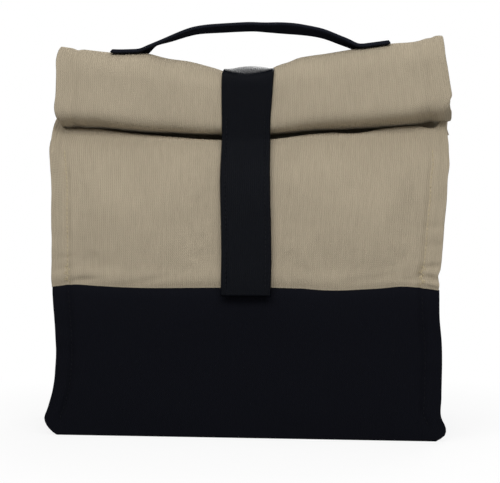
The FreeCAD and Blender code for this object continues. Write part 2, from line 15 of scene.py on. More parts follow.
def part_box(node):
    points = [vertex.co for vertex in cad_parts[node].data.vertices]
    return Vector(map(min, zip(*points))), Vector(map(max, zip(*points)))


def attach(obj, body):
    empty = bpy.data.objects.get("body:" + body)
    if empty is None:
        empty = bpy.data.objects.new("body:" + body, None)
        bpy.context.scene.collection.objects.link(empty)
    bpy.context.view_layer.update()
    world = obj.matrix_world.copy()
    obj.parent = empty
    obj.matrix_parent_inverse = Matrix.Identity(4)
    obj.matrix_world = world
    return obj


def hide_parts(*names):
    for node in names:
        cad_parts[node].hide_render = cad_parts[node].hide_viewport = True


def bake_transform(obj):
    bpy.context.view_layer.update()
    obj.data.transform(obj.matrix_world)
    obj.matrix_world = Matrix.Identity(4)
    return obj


bl_info = {
    "name": "Roll-top lunch bag",
    "version": (1, 0, 0),
    "blender": (4, 5, 0),
    "location": "View3D > Sidebar > Lunch bag",
    "description": "Builds the canvas, roll, strap, handle and stitching of a soft roll-top lunch bag",
    "category": "Object",
}

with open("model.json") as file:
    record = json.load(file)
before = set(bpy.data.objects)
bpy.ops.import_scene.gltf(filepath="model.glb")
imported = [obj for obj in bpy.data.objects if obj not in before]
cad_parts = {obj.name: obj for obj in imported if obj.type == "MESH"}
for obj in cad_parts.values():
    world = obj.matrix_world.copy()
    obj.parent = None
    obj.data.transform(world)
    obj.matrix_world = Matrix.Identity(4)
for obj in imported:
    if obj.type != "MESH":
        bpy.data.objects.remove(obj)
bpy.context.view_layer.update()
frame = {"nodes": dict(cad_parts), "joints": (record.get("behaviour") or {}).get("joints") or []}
MM = 0.001


def node_box(node):
    """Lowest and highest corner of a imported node, as arrays."""
    low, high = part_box(node)
    return np.array(low), np.array(high)


# Places that the construction gives
HINGES = {joint["name"]: np.array(joint["pos_m"]) for joint in frame["joints"]}
ROLL_BACK, ROLL_TOP = HINGES["roll_open"][1:]
ROLL_FRONT = HINGES["front_unroll"][1]
ROLL_BOTTOM = HINGES["return_unroll"][2]
RETURN_BACK = HINGES["hem_unroll"][1]
HEM_TOP = node_box("hem_outer_ply")[1][2]
FRONT = node_box("band_front")[0][1]
BACK = node_box("band_back")[1][1]
BAND_TOP = node_box("band_front")[1][2]
WALL_TOP = node_box("front_panel")[1][2]
NECK_EDGE = node_box("neck_outer_ply")[1][0]
STRAP_HALF = node_box("strap_flap")[1][0]
STRAP_END = node_box("strap_flap")[0][2]
HANDLE_Y = HINGES["handle_swing"][1]
HANDLE_HALF = node_box("handle_grip")[1][1] - HANDLE_Y

# Heights where the back wall becomes the sleeve and where the folding sides end
NECK_SPLIT = ROLL_BOTTOM + 16 * MM
SIDE_TOP = ROLL_BOTTOM + 8 * MM
# Walls and sides by the way they face
WALLS = {-1: "front", 1: "back"}
SIDES = {-1: "left", 1: "right"}
# The roll's runs in turn: direction along the sleeve as depth and height, and the name of the cloth that
# bends over each corner
HEADINGS = np.array([(0, 1), (-1, 0), (0, -1), (1, 0), (0, 1)], float)
RUNS = ("crest", "front", "return", "hem")

# Outlines of the canvas read off the photograph: (height, reach from the middle) in millimetres, by side
BAND_EDGES = {
    -1: [(0, 116.1), (4, 120.6), (9.5, 123.6), (16.5, 121.6), (25, 119), (46, 116.4), (71, 117),
         (92, 118.6)],
    1: [(0, 114.9), (4, 119.9), (7.5, 120.5), (14.5, 117.7), (26, 117.8), (61, 117.8), (73, 116.7),
        (92, 116.5)],
}
WALL_EDGES = {
    -1: [(92, 118.9), (107, 120), (121, 120.9), (136, 122.2), (151, 123.1), (166, 125.5), (173, 126.9),
         (180, 128), (188, 127.4), (196, 124)],
    1: [(92, 116.1), (95.5, 116.5), (99.5, 115.7), (103, 116.9), (114, 118.4), (122, 119.1), (130, 119.7),
        (144, 121.2), (159, 122.1), (166, 123.1), (173, 122.9), (180, 122.8), (188, 122), (196, 120.8)],
}
BACK_EDGES = {
    -1: [(92, 118.3), (121, 119.2), (146, 119.8), (169, 121), (186, 121), (197.7, 121.3), (204.1, 121.1)],
    1: [(92, 116.2), (121, 118.6), (146, 120.2), (169, 121.4), (186, 122.4), (196.3, 123.2),
        (202, 122.3)],
}
ROLL_EDGES = {
    -1: [(176, 122.8), (184.8, 121.9), (191.2, 123.1), (197.7, 122.4), (204.1, 122.4), (210.6, 122.5),
         (217, 123.2), (225, 122.7), (242, 121.6)],
    1: [(176, 121.6), (184.6, 124.8), (187.2, 123.6), (189.6, 123), (191.8, 124.3), (195.6, 123.8),
        (201.6, 122.8), (207.6, 121.8), (213.5, 120.6), (219.3, 120), (225, 119.3), (242, 118.7)],
}
# Rise of the roll's top above the dip under the strap: (place across, rise) in millimetres
CREST_LINE = [(-124, 18.9), (-121.5, 18.6), (-119, 18.2), (-109, 16.7), (-88, 14), (-67, 13.4),
              (-55, 10.4), (-39, 7.9), (-29, 5.2), (-20.5, 2.6), (-17, 1.2), (-12, 0.2), (-3, 0),
              (6.5, 0.2), (11.5, 1.4), (14.5, 3.2), (18, 4.8), (24.3, 6.9), (29, 9.1), (37, 10.7),
              (46.3, 11.9), (61.8, 14.1), (87, 17.2), (105.5, 19.2), (113, 21.9), (118, 22.1),
              (123, 21.4)]
# Rise of the roll's lower edge above its lowest place: (place across, rise) in millimetres
LOWER_LINE = [(-122, 10.5), (-109.6, 9.7), (-94.7, 9.1), (-80, 6.8), (-65, 5), (-50, 3.8), (-35, 2.6),
              (-15, 2.2), (15, 2.6), (22.7, 3.4), (37.6, 5.2), (52.4, 6.4), (67.2, 7.5), (82, 8.4),
              (97, 9.9), (104, 11), (108, 12), (117, 12.3), (119.6, 12.6), (122, 13.6), (125, 15)]
# How far the roll's front swells forward: (height, swell) in millimetres
ROLL_FULLNESS = [(176, 0), (184.5, 1.6), (189, 2.6), (192, 2.5), (196, 2), (204, 0.6), (212, -0.8),
                 (220, -2.2), (225, -3), (234, -3)]
# Gap between the front wall's top and the roll over it: (place across, gap) in millimetres
ROLL_GAPS = [(-126, -8), (-121, -7), (-118.5, -3), (-116.6, 0), (-115, 2.6), (-112, 2.8), (-95, 3),
             (-84, 2.8), (-60, 3), (-40, 3.2), (-20, 4), (20, 4), (40, 3.6), (52, 4), (64, 5.4),
             (70, 5.2), (80, 4), (96, 3.6), (104, 4.8), (111, 7), (116, 5.8), (118.6, 2), (119.8, 0.8),
             (121.2, 2.8), (123, 6)]
# Wander of the seam along the band's top: (place across, rise) in millimetres
SEAM_LINE = [(-119, -0.3), (-105, 1), (-93, 0.4), (-80, -0.3), (25, -0.4), (35, -0.7), (45, -1.6),
             (58, -1.8), (70, -1), (82, -0.3), (95, 0.8), (108, -0.1), (118, -1.6)]
# Top face of the carry handle between its sewn ends: (place across, height) in millimetres
HANDLE_LINE = [(-77, 240.4), (-67, 242.6), (-57.3, 246.2), (-47.9, 250.1), (-38.3, 253.6), (-28.9, 255.2),
               (-19.4, 255.8), (-10, 256.2), (-0.5, 256.5), (8.9, 256), (18.3, 256), (27.7, 255.3),
               (37.1, 253.6), (46.5, 251.3), (55.8, 247.4), (65.2, 243.6), (75, 240.4)]
# How much higher the handle's back edge is than its front edge: (place across, rise) in millimetres
HANDLE_TWIST = [(-76, 5), (-67, 5.2), (-60, 4.2), (-53.4, 3.1), (-47, 2.4), (-40.7, 1.6), (-28, 0.3),
                (-10, 0), (8, -0.5), (20, -1.6), (28, -1.6), (38, -1), (50, -0.9), (66, -0.3), (75, 0)]
# Middle of the strap: (height, place across) in millimetres
STRAP_LINE = [(86, 1.6), (110, 1.3), (133, 0.3), (150, -0.7), (170, -1.5), (190, -1.8), (212, -1.2),
              (228, -0.7)]
# How much narrower than its cut width the strap looks on each side: (height, loss) in millimetres
STRAP_LOSS = [(86, 0.5), (130, 0.35), (158, 0.2), (170, 0.3), (183, 0.45), (195, 0.4), (207, -0.15),
              (219, -0.5), (234, -0.4)]
# Upright profiles of the front and back walls: (height, depth) in millimetres
FRONT_LINE = [(0, -60), (50, -60), (92, -60), (110, -55.3), (130, -50.2), (145, -46), (155, -42.7),
              (162, -39.9), (168, -37.1), (174, -33.8), (178.5, -30.8), (184, -26.4), (190, -22),
              (198, -17), (206, -13)]
BACK_LINE = [(0, 60), (50, 61.2), (92, 60), (115, 50.5), (142, 33.4), (167, 14.5), (184, 6.8), (204, 6)]
# Soft creases of the front canvas: place across, height, half length, half width, depth and tilt, millimetres
FRONT_CREASES = [
    (-99, 95, 9, 1.8, -1.3, 0.12),
    (-57, 96.5, 12, 2.2, -0.8, 0.18),
    (82, 98, 22, 2.6, -0.9, 0.10),
    (113, 104.6, 7, 1.5, -1.6, 0.12),
    (113, 98, 8, 1.6, -2, -0.06),
    (113, 94.6, 6, 1.5, 0.9, -0.1),
    (100, 96.2, 10, 1.7, -0.9, 0),
    (105.6, 99.5, 2.2, 4, -0.9, 0),
    (-113, 102, 7, 1.6, -0.8, 0.15),
    (-113, 109, 7, 1.6, -0.6, 0.1),
    (113, 128, 8, 1.8, -0.7, 0.05),
    (114, 117, 8, 1.8, -0.6, -0.08),
]
# Half widths of the foam and lining inside the walls, the sides and the base, and the height they start at
INNER_WALL_HALF, INNER_SIDE_HALF, INNER_BASE_HALF = 102.8 * MM, 104.5 * MM, 97 * MM
INNER_BOTTOM = 9 * MM
# Room left above those layers, and at the ends of the side and base layers
INNER_TOP_ROOM, INNER_SIDE_ROOM, INNER_BASE_ROOM = 3 * MM, 7 * MM, 9 * MM
# How far the folding sides go in at the top, and the inward bow of the sides on the band
FOLD_DEPTH = 40 * MM
SIDE_BOW = 1.6 * MM
# Where the walls' canvas is sewn down when it settles: distances at which each seam begins and ends to let go
SEWN_SIDES = (14 * MM, 26 * MM)
SEWN_FOOT = (5 * MM, 16 * MM)
SEWN_STRAP = (2 * MM, 12 * MM)
SEWN_HEAD = 14 * MM
# The frames it settles for, and how far it may move in and out
SETTLE_FRAMES = 20
SETTLE_IN, SETTLE_OUT = -0.5 * MM, 2.4 * MM
# Ends of the carry handle, and the distances from the middle between which it bends at its sewn ends
HANDLE_ENDS = (-88.6 * MM, 86.2 * MM)
# Distances from the middle over which the handle comes down to lie on the roll, by side
HANDLE_LANDS = {-1: (66 * MM, 73 * MM), 1: (63 * MM, 70 * MM)}
# Corner stitches: distance in from the cut edge, in millimetres
STITCH_INSET = 9.6
# Sewn box with its cross on the handle's ends: distance from the middle and depth of its corners in turn
HANDLE_BOX = np.array([(73, 9), (84, 9), (84, -9), (73, -9), (73, 9), (84, -9)]) * MM
# The photograph's point of view
CAMERA_PLACE, CAMERA_AIM = Vector((96.4, -874.5, 130.0)) * MM, Vector((0.15, -30, 118.8)) * MM
CAMERA_SENSOR, CAMERA_LENS = 36, 97.8

# The canvas weave: a yarn's drift in millimetres, rates as changes per millimetre, and shares of a rib
YARN_DRIFT, DRIFT_RATE = 1.4, 0.12
SLUB_RATES = (0.62, 0.06, 0.1)
PATCH_RATE = 0.028
WEFT_SHARE = 0.8
# RIB_SHADE is how strongly the ribs' relief is painted into the colour, as painted shade in the dips between
# ribs
CROSSING_RELIEF, SLUB_RELIEF, RIB_SHADE = 1.1, 0.9, 0.28
# How far a free edge's rounding stands out, as a share of the cloth's thickness
RIM_SHARE = 0.4
# Distance in from a seam, and height above the base, over which a wall swells and a side bows
SWELL_RUN, FOOT_RUN, BOW_RUN = 45 * MM, 18 * MM, 30 * MM
# Heights where the sleeve's folded sides and its inner wall begin, over the front wall's turned top
SHOULDER_TOP = WALL_TOP + 2 * MM
INNER_START = WALL_TOP + 6.2 * MM


def linear(code):
    """Linear red, green and blue of an sRGB hex colour."""
    channels = [int(code[i:i + 2], 16) / 255 for i in (1, 3, 5)]
    return [c / 12.92 if c <= 0.04045 else ((c + 0.055) / 1.055) ** 2.4 for c in channels]


def length(name, description, millimetres):
    """A length that a user can set, given in millimetres and held in metres."""
    return FloatProperty(name=name, description=description, default=millimetres * MM, unit="LENGTH")


def colour(name, description, code):
    """A colour that a user can set, given as an sRGB hex code and held as linear values."""
    return FloatVectorProperty(name=name, description=description, default=linear(code), subtype="COLOR",
                               min=0, max=1)


class LUNCHBAG_PG_sizes(bpy.types.PropertyGroup):
    """Sizes of the cloth that a user would change."""

    canvas: length("Canvas", "Thickness of the outer canvas", 1.2)
    foam: length("Foam", "Thickness of the insulating foam", 4)
    lining: length("Lining", "Thickness of the wipe-clean lining", 0.6)
    layer_gap: length("Layer gap", "Room between sewn layers", 0.3)
    flange: length("Seam flange", "Corner seam from its stitch line to the cut edge", 10)
    ply: length("Sleeve wall", "Thickness of one wall of the rolled sleeve", 2.5)
    sleeve_gap: length("Sleeve room", "Room between the two walls of the sleeve", 3)
    roll_radius: length("Roll radius", "Rounding of the roll's upper corners", 14)
    hem_radius: length("Hem radius", "Rounding of the roll's lower corners, where the mouth turns in", 10)
    strap_press: length("Strap press", "How far the strap's fold is pulled into the roll", 2.7)
    wall_bulge: length("Wall bulge", "How far the padded walls swell between their seams", 0.6)
    strap: length("Strap", "Thickness of the closing strap", 2.4)
    tape: length("Tape", "Thickness of the hook tape and of the loop tape", 1.4)
    handle: length("Handle", "Thickness of the carry handle", 2.4)
    stitch: length("Stitch", "Length of one stitch", 3)
    thread: length("Thread", "Thickness of the sewing thread", 0.55)


class LUNCHBAG_PG_colours(bpy.types.PropertyGroup):
    """Colours that a user would change."""

    canvas_light: colour("Light canvas", "Undyed canvas of the upper part and the roll", "#A99D88")
    canvas_dark: colour("Dark canvas", "Canvas of the band", "#0E0F15")
    strap_dark: colour("Strap", "Canvas of the strap", "#04060C")
    webbing: colour("Webbing", "Webbing of the handle", "#1D1F26")
    thread_light: colour("Light thread", "Thread on the light canvas", "#B5A88A")
    thread_dark: colour("Dark thread", "Thread on the dark canvas", "#0C0D12")
    lining: colour("Lining", "Wipe-clean lining film", "#C9C9C6")
    foam: colour("Foam", "Insulating foam", "#E6E6E4")
    board: colour("Base board", "Stiffening board", "#3A3A3C")
    tape: colour("Tape", "Hook tape and loop tape", "#0D0D12")


def sizes():
    """The bag's sizes, as set in the scene."""
    return bpy.context.scene.lunchbag_sizes


def colours():
    """The bag's colours, as set in the scene."""
    return bpy.context.scene.lunchbag_colours


# Materials
def node(tree, kind, inputs=None, **settings):
    """Adds a node with its settings, and links or sets its inputs. A node among these gives its first
    output."""
    made = tree.nodes.new(kind)
    for name, value in settings.items():
        setattr(made, name, value)
    for key, value in (inputs or {}).items():
        if isinstance(value, bpy.types.Node):
            value = value.outputs[0]
        if isinstance(value, bpy.types.NodeSocket):
            tree.links.new(value, made.inputs[key])
        else:
            made.inputs[key].default_value = value
    return made


def new_material(name):
    """A material with an empty tree."""
    made = bpy.data.materials.new(name)
    made.use_nodes = True
    made.node_tree.nodes.clear()
    return made, made.node_tree


def woven(name, rgb, pitch, contrast, bump, sheen, roughness, specular):
    """Plain-woven cotton canvas: round warp yarns stand as upright ribs and the weft dips between them. The
    eye gets a dry, dusty surface with fine ribs and uneven yarns. Its real pitch of about 0.7 mm would be
    lost in the picture, so the ribs are drawn about twice as coarse."""
    made, tree = new_material(name)
    cloth = node(tree, "ShaderNodeAttribute", attribute_name="cloth")
    place = node(tree, "ShaderNodeVectorMath", {0: cloth.outputs["Vector"], "Scale": 1 / MM},
                 operation="SCALE")
    parts = node(tree, "ShaderNodeSeparateXYZ", {0: place})
    # Upright ribs that drift sideways, crossed by the weft
    wander = node(tree, "ShaderNodeTexNoise", {"Vector": place, "Scale": DRIFT_RATE, "Detail": 1})
    across = node(tree, "ShaderNodeMath", {0: wander, 1: YARN_DRIFT, 2: parts.outputs[0]},
                  operation="MULTIPLY_ADD")
    warp_turn = node(tree, "ShaderNodeMath", {0: across, 1: 2 * math.pi / pitch}, operation="MULTIPLY")
    weft_turn = node(tree, "ShaderNodeMath", {0: parts.outputs[1], 1: 2 * math.pi / (pitch * WEFT_SHARE)},
                     operation="MULTIPLY")
    warp = node(tree, "ShaderNodeMath", {0: warp_turn}, operation="SINE")
    weft = node(tree, "ShaderNodeMath", {0: weft_turn}, operation="SINE")
    crossing = node(tree, "ShaderNodeMath", {0: warp, 1: weft}, operation="MULTIPLY")
    relief = node(tree, "ShaderNodeMath", {0: crossing, 1: CROSSING_RELIEF, 2: warp},
                  operation="MULTIPLY_ADD")
    # Thick and thin places, long in the warp, and wide patches of wear
    along = node(tree, "ShaderNodeVectorMath", {0: place, 1: SLUB_RATES}, operation="MULTIPLY")
    slub = node(tree, "ShaderNodeTexNoise", {"Vector": along, "Scale": 1, "Detail": 3})
    patches = node(tree, "ShaderNodeTexNoise", {"Vector": place, "Scale": PATCH_RATE, "Detail": 3})
    yarn = node(tree, "ShaderNodeMath", {0: slub, 1: patches}, operation="ADD")
    # The colour tone has the ribs' relief painted in, as painted shade in the dips between ribs and lighter
    # rib tops, over the yarns' random thick and thin places and patches
    rib_shade_and_yarn_tone = node(tree, "ShaderNodeMath", {0: relief, 1: RIB_SHADE, 2: yarn}, operation="MULTIPLY_ADD")
    tone = node(tree, "ShaderNodeMapRange", {"Value": rib_shade_and_yarn_tone, "From Min": 0.4, "From Max": 1.6,
                                             "To Min": 1 - contrast, "To Max": 1 + contrast})
    tint = node(tree, "ShaderNodeVectorMath", {0: (*rgb,), "Scale": tone}, operation="SCALE")
    height = node(tree, "ShaderNodeMath", {0: slub, 1: SLUB_RELIEF, 2: relief}, operation="MULTIPLY_ADD")
    raised = node(tree, "ShaderNodeBump", {"Height": height, "Distance": bump * MM, "Strength": 0.8})
    shader = node(tree, "ShaderNodeBsdfPrincipled", {
        "Base Color": tint, "Normal": raised, "Roughness": roughness, "Specular IOR Level": specular,
        "Sheen Weight": sheen, "Sheen Roughness": 0.25})
    node(tree, "ShaderNodeOutputMaterial", {"Surface": shader})
    return made


def twisted(name, rgb):
    """Twisted polyester sewing thread: a soft gleam on rounded strands, with plies of uneven tone."""
    made, tree = new_material(name)
    spot = node(tree, "ShaderNodeTexCoord")
    plies = node(tree, "ShaderNodeTexNoise", {"Vector": spot.outputs["Object"], "Scale": 1.4 / MM,
                                              "Detail": 2})
    tone = node(tree, "ShaderNodeMapRange", {"Value": plies, "To Min": 0.72, "To Max": 1.28})
    tint = node(tree, "ShaderNodeVectorMath", {0: (*rgb,), "Scale": tone}, operation="SCALE")
    shader = node(tree, "ShaderNodeBsdfPrincipled", {"Base Color": tint, "Roughness": 0.75,
                                                     "Specular IOR Level": 0.1})
    node(tree, "ShaderNodeOutputMaterial", {"Surface": shader})
    return made


def pressed(name, rgb, grain, depth, roughness, specular):
    """Film, foam or board with a pressed grain: a smooth sheet whose gloss breaks up over fine pits."""
    made, tree = new_material(name)
    spot = node(tree, "ShaderNodeTexCoord").outputs["Object"]
    pits = node(tree, "ShaderNodeTexVoronoi", {"Vector": spot, "Scale": 1 / (grain * MM)})
    patches = node(tree, "ShaderNodeTexNoise", {"Vector": spot, "Scale": 0.04 / MM, "Detail": 2})
    tone = node(tree, "ShaderNodeMapRange", {"Value": patches, "To Min": 0.88, "To Max": 1.1})
    tint = node(tree, "ShaderNodeVectorMath", {0: (*rgb,), "Scale": tone}, operation="SCALE")
    dull = node(tree, "ShaderNodeMapRange", {"Value": patches, "To Min": roughness - 0.08,
                                             "To Max": roughness + 0.08})
    raised = node(tree, "ShaderNodeBump", {"Height": pits.outputs["Distance"], "Distance": depth * MM})
    shader = node(tree, "ShaderNodeBsdfPrincipled", {"Base Color": tint, "Roughness": dull, "Normal": raised,
                                                     "Specular IOR Level": specular})
    node(tree, "ShaderNodeOutputMaterial", {"Surface": shader})
    return made


def material(name):
    """The named finish of the bag, made when it is first asked for. Pitch, bump, grain and depth are
    millimetres."""
    if name in bpy.data.materials:
        return bpy.data.materials[name]
    tones = colours()
    makers = {
        "light_cotton_canvas": (woven, tones.canvas_light, dict(
            pitch=1.3, contrast=0.14, bump=0.11, sheen=0.03, roughness=0.95, specular=0.12)),
        "dark_cotton_canvas": (woven, tones.canvas_dark, dict(
            pitch=1.4, contrast=0.06, bump=0.05, sheen=0, roughness=0.9, specular=0.05)),
        "dark_strap_canvas": (woven, tones.strap_dark, dict(
            pitch=1.2, contrast=0.25, bump=0.08, sheen=0, roughness=0.3, specular=0.04)),
        "dark_cotton_webbing": (woven, tones.webbing, dict(
            pitch=1.6, contrast=0.25, bump=0.2, sheen=0, roughness=0.9, specular=0)),
        "light_polyester_thread": (twisted, tones.thread_light, {}),
        "dark_polyester_thread": (twisted, tones.thread_dark, {}),
        "embossed_lining_film": (pressed, tones.lining, dict(
            grain=2.5, depth=0.15, roughness=0.42, specular=0.5)),
        "closed_cell_foam": (pressed, tones.foam, dict(grain=1.2, depth=0.2, roughness=0.8, specular=0.3)),
        "moulded_base_board": (pressed, tones.board, dict(
            grain=0.8, depth=0.06, roughness=0.5, specular=0.5)),
        "hook_and_loop_nylon": (pressed, tones.tape, dict(
            grain=0.9, depth=0.5, roughness=0.75, specular=0.3)),
    }
    make, tone, finish = makers[name]
    return make(name, tone, **finish)


# Shapes
def smooth(value, low, high):
    """0 below low, 1 above high and an easy curve between them."""
    t = np.clip((np.asarray(value, float) - low) / (high - low), 0, 1)
    return t * t * (3 - 2 * t)


def bell(distance, half_width):
    """1 at no distance, falling away on both sides like a soft fold."""
    return np.exp(-(distance / half_width) ** 2)


def curve(points, at):
    """A smooth line through a few (place, value) points in millimetres, in metres."""
    place, value = np.array(points, float).T * MM
    at = np.asarray(at, float)
    slope = np.gradient(value, place)
    k = np.clip(np.searchsorted(place, at) - 1, 0, len(place) - 2)
    span = place[k + 1] - place[k]
    t = np.clip((at - place[k]) / span, 0, 1)
    from_start = (2 * t**3 - 3 * t**2 + 1) * value[k] + (t**3 - 2 * t**2 + t) * span * slope[k]
    to_end = (3 * t**2 - 2 * t**3) * value[k + 1] + (t**3 - t**2) * span * slope[k + 1]
    return from_start + to_end


def uneven(x, y, patch, seed):
    """Soft unevenness of cloth from -1 to 1 in patches of that size, and other patches for each seed."""
    spots = np.stack(np.broadcast_arrays(x, y), axis=-1).reshape(-1, 2) / patch
    values = [noise.noise(Vector((a + 7.3 * seed, b - 3.1 * seed, seed))) for a, b in spots]
    return np.array(values).reshape(np.broadcast(x, y).shape)


def grid_normals(grid):
    """Unit normals of a grid of points, columns first."""
    across = np.gradient(grid, axis=1)
    along = np.gradient(grid, axis=0)
    normals = np.cross(across, along)
    return normals / np.linalg.norm(normals, axis=2, keepdims=True)


def grid_cloth(grid):
    """Cloth coordinates of a grid: metres across and along, as the flat cut would have them."""
    steps_u = np.linalg.norm(np.diff(grid, axis=1), axis=2).mean(axis=0)
    steps_v = np.linalg.norm(np.diff(grid, axis=0), axis=2).mean(axis=1)
    u = np.concatenate([[0], np.cumsum(steps_u)])
    v = np.concatenate([[0], np.cumsum(steps_v)])
    flat_u, flat_v = np.meshgrid(u - u[-1] / 2, v)
    return np.stack([flat_u, flat_v, np.zeros_like(flat_u)], axis=2)


def perimeter(grid):
    """The grid's border as one loop."""
    return np.concatenate([grid[0, :-1], grid[:-1, -1], grid[-1, :0:-1], grid[:0:-1, 0]])


def new_object(name, vertices, faces, normals=None, cloth=None):
    """A smooth-shaded mesh in the scene. cloth says where each vertex lies on the flat cut, for the weave."""
    mesh = bpy.data.meshes.new(name)
    mesh.from_pydata(np.asarray(vertices).tolist(), [], faces)
    mesh.polygons.foreach_set("use_smooth", np.ones(len(mesh.polygons), bool))
    if cloth is not None:
        held = mesh.attributes.new("cloth", "FLOAT_VECTOR", "POINT")
        held.data.foreach_set("vector", np.asarray(cloth, np.float32).ravel())
    if normals is not None:
        mesh.normals_split_custom_set_from_vertices(np.asarray(normals).tolist())
    mesh.update()
    made = bpy.data.objects.new(name, mesh)
    bpy.context.scene.collection.objects.link(made)
    return made


def slab_points(grid, normals, thickness, joined):
    """Vertices of a closed piece of cloth: its outer face, its inner face and the middle of its rim, with the
    rim's outward directions."""
    inner = grid - normals * thickness
    across = np.gradient(grid, axis=1)
    along = np.gradient(grid, axis=0)
    out = np.zeros_like(grid)
    for edge, row, way in (("first", along[0], -1), ("last", along[-1], 1)):
        if edge not in joined:
            out[0 if way < 0 else -1] += way * row / np.linalg.norm(row, axis=1, keepdims=True)
    for edge, column, way in (("left", across[:, 0], -1), ("right", across[:, -1], 1)):
        if edge not in joined:
            out[:, 0 if way < 0 else -1] += way * column / np.linalg.norm(column, axis=1, keepdims=True)
    rim_out = perimeter(out)
    rim = perimeter((grid + inner) / 2) + rim_out * thickness * RIM_SHARE
    return np.concatenate([grid.reshape(-1, 3), inner.reshape(-1, 3), rim]), rim_out


def grid_faces(index):
    """Corners of the faces of a grid of vertices."""
    return np.stack([index[:-1, :-1], index[:-1, 1:], index[1:, 1:], index[1:, :-1]], axis=-1).reshape(-1, 4)


def settle_canvas(name, grid, sewn_top, strap_half):
    """Lets a wall's canvas settle as slack cloth between its seams, pressed out by the padding behind it, and
    gives back its grid. It is sewn down along its edges, above a height and under the strap."""
    run = grid_cloth(grid)
    from_edge = abs(run[..., 0]).max() - abs(run[..., 0])
    free = smooth(from_edge, *SEWN_SIDES) * smooth(run[..., 1], *SEWN_FOOT)
    free = free * (1 - smooth(grid[..., 2], sewn_top - SEWN_HEAD, sewn_top))
    if strap_half:
        free = free * smooth(abs(grid[..., 0]), *[strap_half + reach for reach in SEWN_STRAP])
    faces = grid_faces(np.arange(free.size).reshape(free.shape))
    canvas = new_object(name, grid.reshape(-1, 3), faces.tolist())
    sewn = canvas.vertex_groups.new(name="sewn")
    for place, share in enumerate(free.ravel()):
        sewn.add([place], 1 - float(share), "REPLACE")
    slack = canvas.modifiers.new("slack", "CLOTH")
    slack.settings.vertex_group_mass = "sewn"
    slack.settings.quality = 5
    slack.settings.mass = 0.3
    slack.settings.bending_stiffness = 4
    slack.settings.shrink_min = -0.004
    slack.settings.use_pressure = True
    slack.settings.uniform_pressure_force = 4
    slack.settings.effector_weights.gravity = 0
    slack.collision_settings.use_collision = False
    scene = bpy.context.scene
    for moment in range(1, SETTLE_FRAMES + 1):
        scene.frame_set(moment)
    settled = canvas.evaluated_get(bpy.context.evaluated_depsgraph_get())
    places = np.zeros(grid.size, np.float32)
    settled.data.vertices.foreach_get("co", places)
    bpy.data.objects.remove(canvas)
    scene.frame_set(1)
    normals = grid_normals(grid)
    moved = ((places.reshape(grid.shape) - grid) * normals).sum(axis=2)
    return grid + normals * np.clip(moved, SETTLE_IN, SETTLE_OUT)[..., None]


def make_slab(name, grid, thickness, finish, normals=None, cloth=None, joined=""):
    """A closed piece of cloth. The grid is its outer face, and its inner face lies behind it. Free edges are
    rounded like a fold. joined names the edges where the next piece goes on, which stay square: some of
    first, last (rows), left and right (columns)."""
    normals = grid_normals(grid) if normals is None else normals
    cloth = grid_cloth(grid) if cloth is None else cloth
    rows, columns = grid.shape[:2]
    vertices, rim_out = slab_points(grid, normals, thickness, joined)
    index = np.arange(rows * columns).reshape(rows, columns)
    outer_faces = grid_faces(index)
    inner_faces = outer_faces[:, ::-1] + rows * columns
    loop = perimeter(index)
    middle = 2 * rows * columns + np.arange(len(loop))
    behind = loop + rows * columns
    turn = np.roll(np.arange(len(loop)), -1)
    rim_faces = np.concatenate([
        np.stack([loop[turn], loop, middle, middle[turn]], axis=1),
        np.stack([middle[turn], middle, behind, behind[turn]], axis=1),
    ])
    # A joined edge has no outward direction, so a trace is added to keep its normals whole
    shading = np.concatenate([normals.reshape(-1, 3), -normals.reshape(-1, 3), rim_out + 1e-6])
    flat = cloth.reshape(-1, 3)
    places = np.concatenate([flat, flat, perimeter(cloth)])
    faces = np.concatenate([outer_faces, rim_faces, inner_faces]).tolist()
    made = new_object(name, vertices, faces, shading, places)
    made.data.materials.append(material(finish))
    return made


def sew_line(name, points, normals, thread, body):
    """A row of light or dark stitches along a line on a cloth face, which ride with it: short rounded strands
    that dip at both ends."""
    size = sizes()
    steps = np.linalg.norm(np.diff(points, axis=0), axis=1)
    run = np.concatenate([[0], np.cumsum(steps)])
    radius = size.thread / 2
    sides = 6
    around = np.linspace(0, 2 * math.pi, sides, endpoint=False)
    lead, shown = 0.3, 0.82
    # Places along a strand, with its height over the cloth and its half width there
    share = np.array([0, 0.14, 0.5, 0.86, 1])
    sink = np.array([-0.9, 0.1, 0.55, 0.1, -0.9]) * radius
    wide = np.array([0.55, 1, 1, 1, 0.55]) * radius
    vertices, faces = [], []
    for begin in np.arange(size.stitch * lead, run[-1] - size.stitch, size.stitch):
        at = begin + share * size.stitch * shown
        centre = np.stack([np.interp(at, run, points[:, k]) for k in range(3)], axis=1)
        up = np.stack([np.interp(at, run, normals[:, k]) for k in range(3)], axis=1)
        up /= np.linalg.norm(up, axis=1, keepdims=True)
        along = np.gradient(centre, axis=0)
        along /= np.linalg.norm(along, axis=1, keepdims=True)
        beside = np.cross(along, up)
        base = len(vertices)
        for k in range(len(at)):
            ring = np.outer(np.cos(around), beside[k]) + np.outer(np.sin(around), up[k])
            vertices.extend(centre[k] + up[k] * sink[k] + ring * wide[k])
        for k in range(len(at) - 1):
            for a in range(sides):
                b = (a + 1) % sides
                low, high = base + sides * k, base + sides * (k + 1)
                faces.append((low + a, low + b, high + b, high + a))
        faces.append(tuple(base + a for a in reversed(range(sides))))
        faces.append(tuple(base + sides * (len(at) - 1) + a for a in range(sides)))
    made = new_object(name, vertices, faces)
    made.data.materials.append(material(f"{thread}_polyester_thread"))
    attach(made, body)


def denser(count, edge_share):
    """Places from -1 to 1, closer together in the outer edge_share of each side."""
    t = np.linspace(-1, 1, count)
    return np.sign(t) * np.where(abs(t) < 0.5, abs(t) * 2 * (1 - edge_share),
                                 1 - edge_share + (abs(t) - 0.5) * 2 * edge_share)


